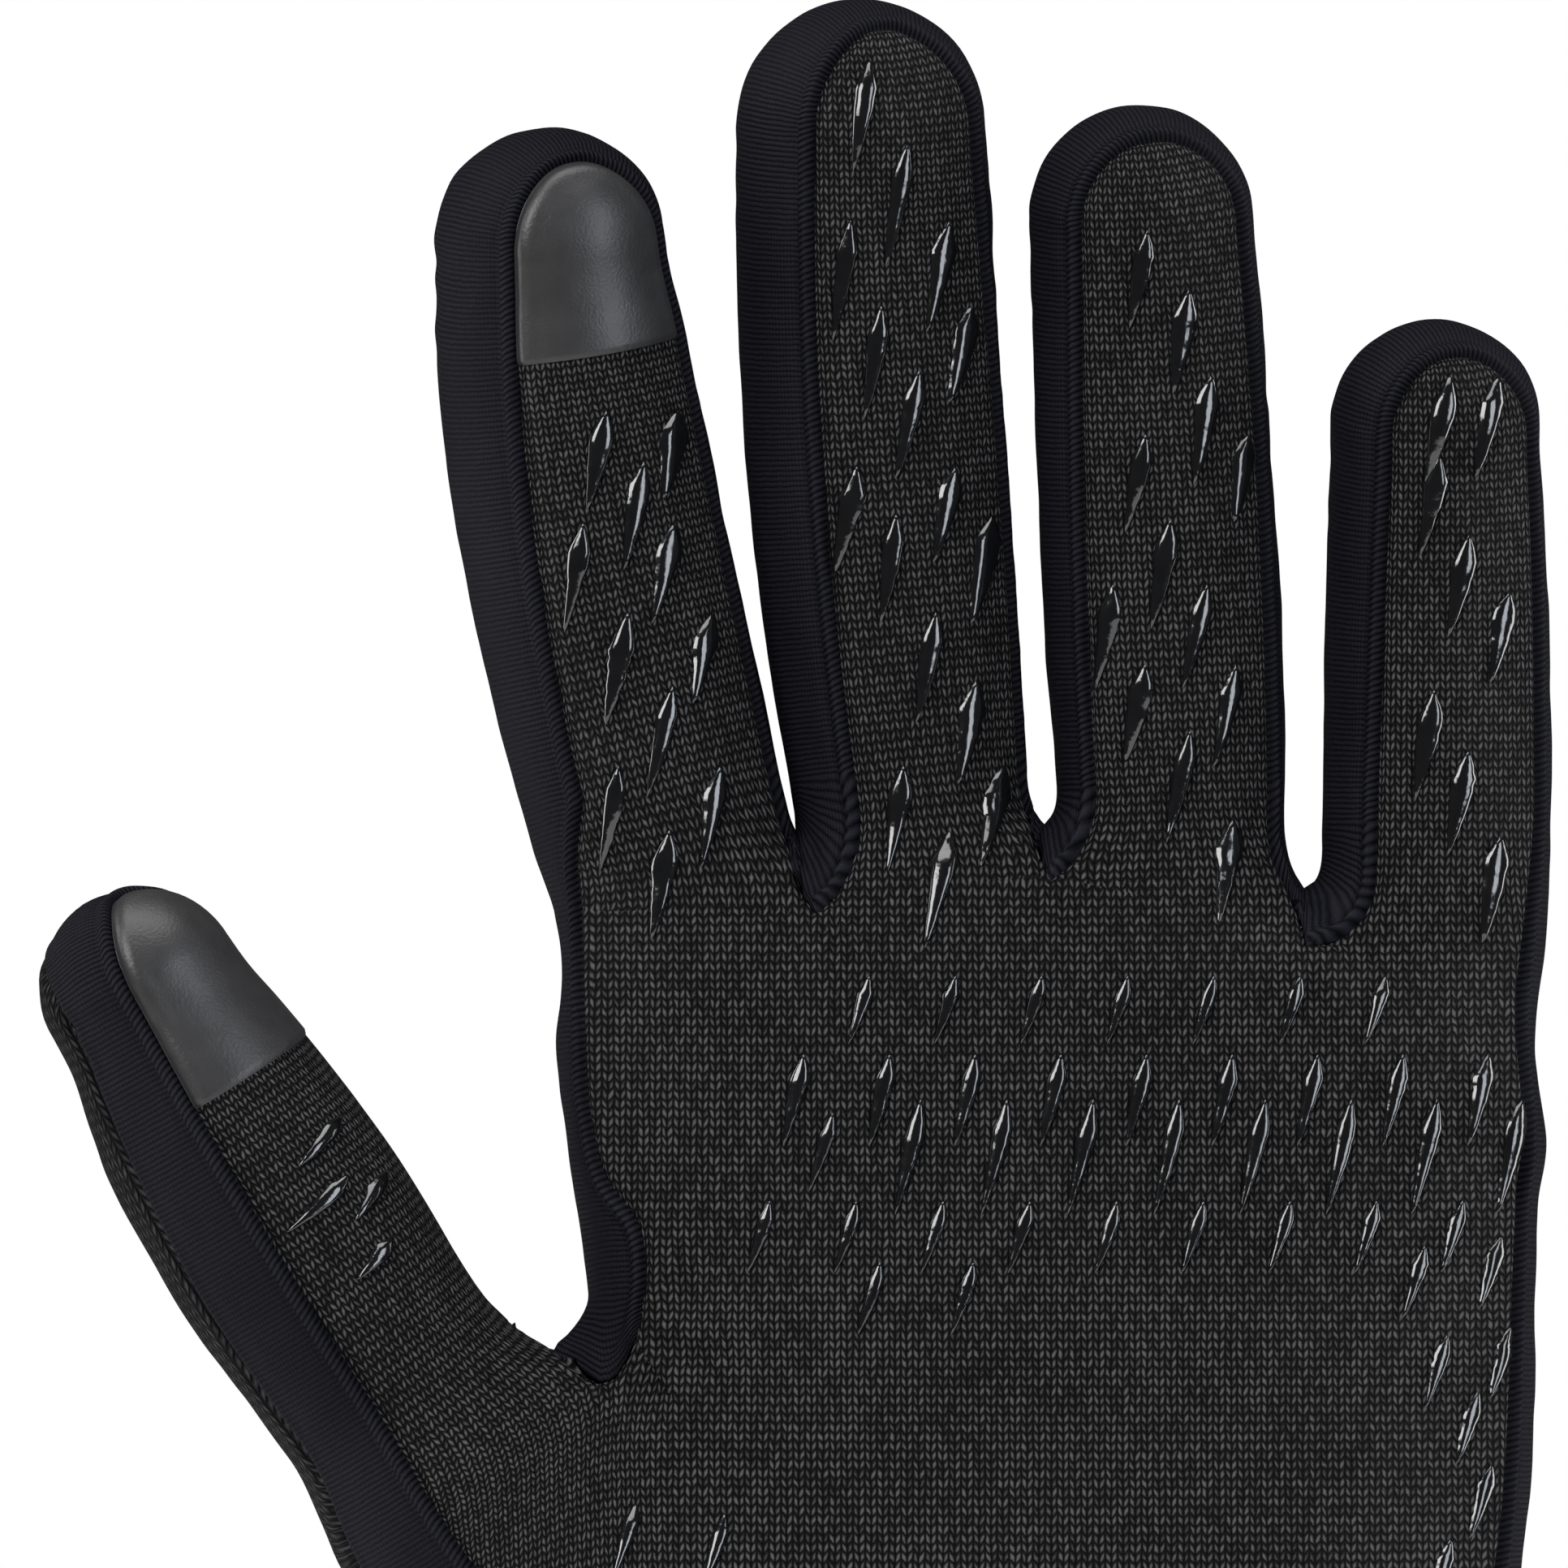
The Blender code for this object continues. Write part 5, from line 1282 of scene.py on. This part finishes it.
def both_ways(name, stage):
    """The bodies on each side of a digit's lower or upper cloth, and the ends of the bend between them, in
    metres.
    """
    first, second = DIGITS[name]["fold_at"]
    middle = split_height(name)
    if stage == "lower":
        bodies, s = ("hand", f"{name}_base"), (COLLAR_TOP[name], min(first + 8, middle - 0.5))
    else:
        bodies, s = (f"{name}_base", f"{name}_tip"), (max(middle + 0.5, second - 8), second + 8)
    return (*bodies, *[tuple(in_frame(digit_point(name, at))) for at in s])


def place(piece, name, stage, slot, *nodes):
    """Hangs a hand piece on the hand's body, bakes a digit's piece in place, and hides the nodes it stands for.
    The slot is not used.
    """
    if name is None:
        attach(piece, "hand")
    else:
        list(both_ways(name, stage))
        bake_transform(piece)
    if nodes:
        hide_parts(*nodes)
    return piece


def make_skins(looks):
    skins = {"front": build_panel(-1), "back": build_panel(1), "gussets": build_gussets()}
    distances(skins)
    shape_skins(skins)
    webs = ("index_middle_web", "middle_ring_web", "ring_little_web", "thumb_index_web", "little_edge_gusset",
            "thumb_edge_gusset")
    for skin, name, slot, nodes in (("front", "palm_panel", "palm_knit", ("palm_front",)),
                                    ("back", "back_panel", "back_knit", ("hand_back",)),
                                    ("gussets", "hand_gussets", "stretch_rib", webs)):
        place(cut_piece(skins[skin], ["hand"], name, looks[slot]), None, "", slot, *nodes)
    for name in DIGITS:
        for stage, part, fold in (("lower", "base", "base_fold"), ("upper", "tip", "middle_fold")):
            gussets = ["base_left_gusset", "base_right_gusset"] if stage == "lower" else ["tip_gusset"]
            for skin, slot, side, nodes in (("front", "palm_knit", "front", [f"{part}_front"]),
                                            ("back", "back_knit", "back", [f"{part}_back"]),
                                            ("gussets", "stretch_rib", "gusset", [*gussets, fold])):
                owners = [f"{name}_{stage}"] + [f"{name}_pad"] * (stage == "upper")
                piece = cut_piece(skins[skin], owners, f"{name}_{stage}_{side}", looks[slot])
                place(piece, name, stage, slot, *[f"{name}_{node}" for node in nodes])
    return skins


def make_pad(skin, name, look):
    """The smooth film over a fingertip's front, as a sheet just proud of the knit with its edge turned down."""
    chosen = skin.owner == f"{name}_pad"
    quad, corner = skin.quad[chosen], skin.corner[chosen]
    used, local = np.unique(quad, return_inverse=True)
    local = local.reshape(quad.shape)
    s = digit_coordinates(name, skin.p[used])[0]
    up = smoothstep(s, s.min() - 0.05, s.min() + 0.5)
    normals, height = skin.final_normals[used], skin.height[used]
    smooth = skin.p[used] - normals * (height * smoothstep(skin.to_front[used], 1, 3))[:, None]
    lifted = smooth + normals * mix(-0.05, 0.3, up ** 0.5)[:, None]
    piece = make_object(f"{name}_touch_film", lifted, local, look, corners_uv(local, corner, skin.uv))
    return place(piece, name, "upper", "touch_film", f"{name}_touch_pad")


# Each row of a finger's blades: the height of their tops, and how far they are from its centre line.
BLADE_ROWS = {
    "index": [(209.2, 3.2, 9.85), (204.5, -3.6, 6.0), (198.7, -0.8, 7.6), (190.3, 1.7, 9.5),
              (183.5, -4.7, 4.5), (176.0, -2.2, 7.3), (170.0, 1.3)],
    "middle": [(241.9, 0.6, 8.6), (234.0, 3.9, 11.2), (227.0, -1.6, 7.6), (219.0, 1.0, 9.4), (213.0, 4.3),
               (204.0, -1.9, 7.3), (199.5, 1.5, 10.5), (190.4, 4.5), (184.0, -2.0, 7.4), (176.0, -0.8, 8.6),
               (170.0, 2.5)],
    "ring": [(235.0, 0.7, 6.4), (232.7, -3.6), (226.0, 0.0, 9.2), (220.5, 3.6), (212.5, 5.3),
             (207.0, -1.1, 8.5), (199.0, 0.9), (193.0, -4.6, 4.2), (185.5, -1.8, 6.7), (179.3, 2.1),
             (171.0, 5.7)],
    "little": [(212.5, 1.0, 5.5), (205.0, 0.0), (197.6, 2.8), (192.3, 6.6), (183.1, -0.4), (177.4, 2.8),
               (169.4, 5.8)],
}
CENTRE_LINES = {
    "index": ((170.0, 174.0, 180.1, 192.3, 204.5, 210.6), (-36.4, -37.2, -38.6, -41.1, -43.5, -44.4)),
    "middle": ((170.0, 174.0, 180.0, 192.0, 204.5, 217.0, 241.0),
               (-11.4, -12.0, -13.2, -14.9, -15.7, -16.2, -17.0)),
    "ring": ((170.0, 174.0, 186.0, 198.0, 210.6, 229.0), (12.0, 11.8, 11.2, 10.9, 10.4, 9.4)),
    "little": ((160.0, 215.0), (36.9, 36.9)),
}
PALM_BLADES = [  # x and z of the top, and length
    *[(-16.4 + 8.05 * k, 156.4, 6.5) for k in range(7)],
    *[(-22.5 + 8.0 * k, 149.1, 8.8) for k in range(9)],
    (-19.8, 143.6, 7.5), *[(-11.6 + 8.05 * k, 144.9, 11.0) for k in range(8)],
    *[(-25.7 + 8.1 * k, 135.4, 6.9) for k in range(9)],
    (-15.4, 129.7, 6.9), (-6.7, 129.7, 6.9), (35.5, 131.2, 6.9), (42.7, 132.0, 6.9), (37.6, 122.8, 7.0),
    (43.7, 123.6, 7.0), (40.5, 117.5, 7.0), (41.8, 110.6, 7.0), (37.9, 103.7, 7.0), (43.1, 104.5, 7.0),
    (-38.2, 107.2, 7.0), (-29.9, 106.2, 7.0),
]
THUMB_BLADES = [  # x and z of the top, then of the tail
    (-65.8, 143.3, -69.7, 138.5), (-65.0, 137.9, -70.8, 132.4), (-62.8, 143.4, -65.0, 138.9),
    (-61.5, 138.2, -64.4, 133.5), (-61.0, 131.9, -64.2, 128.0), (-68.4, 130.6, -70.4, 128.6),
]
BLADE_ACROSS = np.array([-1, -0.78, -0.45, 0, 0.45, 0.78, 1])
BLADE_WIDEST = 0.27  # share of a blade's length from its top to its widest place
BLADE_SUNK = 0.12  # how deep a blade's rim goes into the knit
SHORT_BLADE = 8.0


def grid_quads(index):
    """The quads between a grid's point numbers."""
    return np.stack([index[:-1, :-1], index[1:, :-1], index[1:, 1:], index[:-1, 1:]], axis=-1).reshape(-1, 4)


def blade_grid(surface, rng, top, tail, width, height):
    """One raised blade on the cloth: a short spearhead at its top and a long tail."""
    t = np.concatenate([[0, 0.03, 0.08], np.linspace(0.14, 1, 15)])
    tail_share = np.clip((1 - t) / (1 - BLADE_WIDEST), 0, 1) ** 0.66
    outline = np.where(t < BLADE_WIDEST, (t / BLADE_WIDEST) ** 0.72, tail_share)
    outline = outline * (1 + rng.uniform(-0.09, 0.09, len(t)))
    bow = rng.uniform(-0.025, 0.025) * width
    length = top[1] - tail[1]
    lean = (top[0] - tail[0]) / length
    lean = lean / math.hypot(1, lean) if lean > 0.4 else 0.0
    offset = BLADE_ACROSS * (outline * width / 2)[:, None]
    x = mix(top[0], tail[0], t ** 1.25)[:, None] + offset * math.sqrt(1 - lean ** 2)
    jagged = np.where(np.abs(BLADE_ACROSS) == 1, rng.uniform(-0.07, 0.07, x.shape), 0)
    x += (bow * np.sin(t * math.pi))[:, None] + jagged
    point = 0.12 * (1 - np.abs(BLADE_ACROSS)) * width * outline[:, None]
    z = (top[1] - t * length)[:, None] - point - offset * lean
    rise = height * np.sqrt(np.clip(1 - BLADE_ACROSS ** 2, 0, 1)) * np.maximum(outline, 0.3)[:, None] ** 0.5
    rise = np.where((np.abs(BLADE_ACROSS) == 1) | (outline < 0.02)[:, None], -BLADE_SUNK, rise)
    points = np.zeros((*x.shape, 3))
    for i in range(x.shape[0]):
        last = None
        for j in (3, 2, 1, 0, 4, 5, 6):
            hit = surface(x[i, j], z[i, j])
            if hit is None:
                if last is None:
                    return None
                hit = last
            last = hit
            if j == 3:
                middle = hit
            points[i, j] = hit[0] + hit[1] * rise[i, j]
            if j == 0:
                last = middle
    return points


def make_blades(skin, look):
    """The raised silicone blades printed on the palm panel."""
    tree = bvhtree.BVHTree.FromPolygons(skin.p.tolist(), skin.quad.tolist())

    def surface(x, z):
        place, normal, _, _ = tree.ray_cast((x, -60.0, z), (0.0, 1.0, 0.0))
        if place is None or place[1] > 2.0:
            return None
        return np.array(place), np.array(normal) * (1 if normal[1] < 0 else -1)

    rng = np.random.default_rng(11)
    jobs = {("hand", ""): []}
    for x, z, length in PALM_BLADES:
        slant, width = (0.30, 1.75) if length < SHORT_BLADE else (0.22, 2.1)
        jobs["hand", ""].append(((x, z), (x - slant * length, z - length), width))
    for name, rows in BLADE_ROWS.items():
        limit = digit_point(name, split_height(name))[2]
        for z, *offsets in rows:
            for u in offsets:
                x = float(np.interp(z, *CENTRE_LINES[name])) + u
                length = 11.0 if name == "middle" else 10.0
                length *= rng.uniform(0.92, 1.1) * (0.9 if abs(u) > 6 else 1.0)
                stage = "lower" if z - length / 2 < limit else "upper"
                blade = ((x, z), (x - rng.uniform(0.14, 0.24) * length, z - length), rng.uniform(2.2, 2.8))
                jobs.setdefault((name, stage), []).append(blade)
    for top_x, top_z, tail_x, tail_z in THUMB_BLADES:
        jobs.setdefault(("thumb", "upper"), []).append(((top_x, top_z), (tail_x, tail_z), 1.8))
    for (name, stage), blades in jobs.items():
        points, faces, count = [], [], 0
        for top, tail, width in blades:
            grid = blade_grid(surface, rng, top, tail, width, 0.62 if width > 2 else 0.5)
            if grid is None:
                continue
            index = np.arange(grid.shape[0] * grid.shape[1]).reshape(grid.shape[:2]) + count
            faces.append(grid_quads(index))
            points.append(grid.reshape(-1, 3))
            count += index.size
        title = "palm_grips" if name == "hand" else f"{name}_{stage}_grips"
        piece = make_object(title, np.concatenate(points), np.concatenate(faces), look)
        place(piece, None if name == "hand" else name, stage, "grip_silicone")


# ---------------------------------------------------------------- the cuff

HEM_TOP, HEM_OUT, CUFF_WALL = 16.0, 0.8, 1.5
HEM_ROWS = (12.6, 14.2)
ELASTIC_Z = 52.0
AROUND = 360


def wrist_ring(z, out, count=AROUND):
    """Points round the wrist at a height, some way outside the cloth's form."""
    turn = np.arange(count) / count * 2 * math.pi
    n = float(smooth_steps(z, PALM_Z, PALM_SQUARENESS))
    width, depth = (float(smooth_steps(z, PALM_Z, p)) + out for p in (PALM_HALF_WIDTH, PALM_HALF_DEPTH))
    c, s = np.cos(turn), np.sin(turn)
    x = float(smooth_steps(z, PALM_Z, PALM_CENTRE)) + width * np.sign(c) * np.abs(c) ** (2 / n)
    return np.stack([x, depth * np.sign(s) * np.abs(s) ** (2 / n), np.full(count, z)], axis=-1)


def make_cuff(looks):
    """The ribbed wrist band with its folded and stitched hem: a guess, as it isn't seen."""
    hem_top, hem, wall = HEM_TOP, HEM_OUT, CUFF_WALL
    profile = [(61.6, -0.9), (61.3, 0.05), (60.7, 0.45), (59.8, 0.6), (58.6, 0.5), (57.0, 0.1)]
    profile += [(z, 0.0) for z in np.arange(55.5, hem_top + 1, -0.75)]
    profile += [(hem_top + 0.5, 0.05), (hem_top, 0.35), (hem_top - 0.4, hem * 0.9), (hem_top - 1.2, hem)]
    profile += [(z, hem) for z in np.arange(hem_top - 2, 1.6, -0.7)]
    profile += [(1.0, hem - 0.1), (0.4, hem - 0.45), (0.08, hem - 0.95), (0.0, hem - 1.4), (0.1, hem - 1.9),
                (0.5, hem - 2.3), (1.2, hem - 2.45)]
    profile += [(z, hem - 2.5) for z in np.arange(2.5, hem_top, 1.2)]
    profile += [(hem_top, hem - 2.4), (hem_top + 0.6, -wall)]
    profile += [(z, -wall) for z in np.arange(hem_top + 2, 62, 1.5)] + [(63.0, -wall)]
    around = np.linspace(0, 1, AROUND + 1)
    gather = np.sin(around * 2 * math.pi * 46) * 0.5 + np.sin(around * 2 * math.pi * 29 + 1) * 0.5
    rings, uv, along = [], [], 0.0
    for k, (z, out) in enumerate(profile):
        ring = wrist_ring(z, out)
        ring = np.concatenate([ring, ring[:1]])
        outward = unit(ring - (1.0, 0, z))
        pull = -0.45 * math.exp(-((z - ELASTIC_Z) / 5.5) ** 2) * (0.6 + 0.5 * gather) * (out > -1)
        sewn = -0.16 * sum(math.exp(-((z - at) / 0.45) ** 2) for at in HEM_ROWS) if out > 0.5 else 0.0
        rings.append(ring + outward * (pull + sewn)[:, None])
        if k:
            along += math.dist(profile[k - 1], (z, out))
        uv.append(np.stack([around * 102 * CUFF_RIB, np.full(AROUND + 1, -along)], axis=-1))
    grid, uv = np.array(rings), np.array(uv)
    index = np.arange(len(grid) * (AROUND + 1)).reshape(len(grid), -1)
    quads = grid_quads(index)
    points = grid.reshape(-1, 3)
    wrap = np.where(quads % (AROUND + 1) == AROUND, quads - AROUND, quads)
    band = make_object("wrist_band", points, wrap, looks["cuff_rib"], uv.reshape(-1, 2)[quads.reshape(-1)])
    place(band, None, "", "stretch_rib", "cuff_band", "cuff_hem")
    make_threads(looks["thread"])


def make_threads(look):
    """Two rows of stitches round the hem."""
    points, faces = [], []
    for z in HEM_ROWS:
        ring = wrist_ring(z, HEM_OUT - 0.06, 2 * AROUND)
        steps = np.linalg.norm(np.diff(np.vstack([ring, ring[:1]]), axis=0), axis=1)
        lengths = np.concatenate([[0], np.cumsum(steps)])
        count = int(lengths[-1] / 2.6)
        for k in range(count):
            at = (k + np.linspace(0.08, 0.92, 6)) / count * lengths[-1]
            line = np.stack([np.interp(at, lengths, np.append(ring[:, a], ring[0, a])) for a in range(3)], -1)
            outward = unit(line - (1.0, 0, z))
            line = line + outward * (0.16 * np.sin(np.linspace(0, math.pi, 6)) - 0.06)[:, None]
            up = np.array([0.0, 0.0, 1.0])
            turn = np.linspace(0, 2 * math.pi, 7)[:-1]
            thick = 0.17 * np.array([0.4, 0.95, 1, 1, 0.95, 0.4])
            tube = (line[:, None] + outward[:, None] * (np.cos(turn)[None, :, None] * thick[:, None, None])
                    + up * (np.sin(turn)[None, :, None] * thick[:, None, None]))
            start = len(points) * 36
            points.append(tube.reshape(-1, 3))
            index = np.arange(36).reshape(6, 6) + start
            faces += np.stack([index[:-1], index[1:], np.roll(index[1:], -1, 1), np.roll(index[:-1], -1, 1)],
                              axis=-1).reshape(-1, 4).tolist()
    piece = make_object("hem_stitches", np.concatenate(points), faces, look)
    place(piece, None, "", "stretch_rib")


# ---------------------------------------------------------------- the studio

VIEW_CENTRE, VIEW_DISTANCE, VIEW_WIDTH, SENSOR = (-0.00204, 0.17426), 2.0, 0.14748, 36.0
FLOOR_RADIUS = 0.42


def area_light(name, place, target, size, power, colour=(1.0, 1.0, 1.0)):
    light = bpy.data.lights.new(name, "AREA")
    light.shape, light.size, light.size_y, light.energy, light.color = "RECTANGLE", *size, power, colour
    obj = bpy.data.objects.new(name, light)
    obj.location = place
    obj.rotation_euler = (Vector(target) - Vector(place)).to_track_quat("-Z", "Y").to_euler()
    bpy.context.scene.collection.objects.link(obj)


def make_studio():
    scene = bpy.context.scene
    scene.view_settings.view_transform = "Standard"
    world = bpy.data.worlds.new("studio")
    world.use_nodes = True
    tree = world.node_tree
    background = tree.nodes["Background"]
    rays = tree.nodes.new("ShaderNodeLightPath")
    shade = tree.nodes.new("ShaderNodeMapRange")
    shade.inputs[3].default_value, shade.inputs[4].default_value = 0.3, 1.0
    mirrored = tree.nodes.new("ShaderNodeMapRange")
    mirrored.inputs[3].default_value, mirrored.inputs[4].default_value = 0.3, 0.07
    tree.links.new(rays.outputs["Is Glossy Ray"], mirrored.inputs[0])
    tree.links.new(mirrored.outputs[0], shade.inputs[3])
    tree.links.new(rays.outputs["Is Camera Ray"], shade.inputs[0])
    tree.links.new(shade.outputs[0], background.inputs["Strength"])
    background.inputs["Color"].default_value = (1, 1, 1, 1)
    scene.world = world
    centre = (0.0, 0.0, 0.15)
    area_light("key", (-0.9, -1.0, 0.95), centre, (0.9, 0.9), 26.0)
    area_light("fill", (1.0, -0.9, 0.45), centre, (0.5, 1.1), 12.0, (0.86, 0.92, 1.0))
    area_light("rim_left", (-1.1, 0.15, 0.25), centre, (0.35, 1.2), 9.0)
    area_light("rim_right", (1.1, 0.15, 0.25), centre, (0.35, 1.2), 9.0)
    area_light("top", (0.0, -0.2, 1.3), centre, (1.0, 0.8), 12.0)
    turn = np.linspace(0, 2 * math.pi, 97)[:-1]
    disc = np.stack([np.cos(turn), np.sin(turn), 0 * turn], axis=-1) * FLOOR_RADIUS
    mesh = bpy.data.meshes.new("floor")
    mesh.from_pydata(disc.tolist(), [], [list(range(96))])
    nodes = Nodes("pale_floor")
    floor_colour = nodes.ramp(nodes.noise(40.0, 4.0), (0.3, (0.80, 0.80, 0.80)), (0.7, (0.83, 0.83, 0.83)))
    mesh.materials.append(nodes.finish(floor_colour, 0.6))
    floor = bpy.data.objects.new("floor", mesh)
    floor.location = (0, 0, -0.0005)
    scene.collection.objects.link(floor)
    camera = bpy.data.cameras.new("camera")
    camera.sensor_width, camera.lens = SENSOR, SENSOR * VIEW_DISTANCE / VIEW_WIDTH
    camera.clip_start, camera.clip_end = 0.1, 20.0
    view = bpy.data.objects.new("camera", camera)
    view.location = (VIEW_CENTRE[0], -VIEW_DISTANCE, VIEW_CENTRE[1])
    view.rotation_euler = (math.pi / 2, 0, 0)
    scene.collection.objects.link(view)
    scene.camera = view


looks = {make.__name__: make() for make in (palm_knit, stretch_rib, back_knit, touch_film, grip_silicone,
                                            elastic_webbing, label_satin, cuff_rib, thread)}
skins = make_skins(looks)
for pad in PAD_BELOW_END:
    make_pad(skins["front"], pad, looks["touch_film"])
make_blades(skins["front"], looks["grip_silicone"])
make_cuff(looks)
for node, look in (("wrist_elastic", "elastic_webbing"), ("care_label", "label_satin")):
    for material_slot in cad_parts[node].material_slots:
        material_slot.material = looks[look]
make_studio()
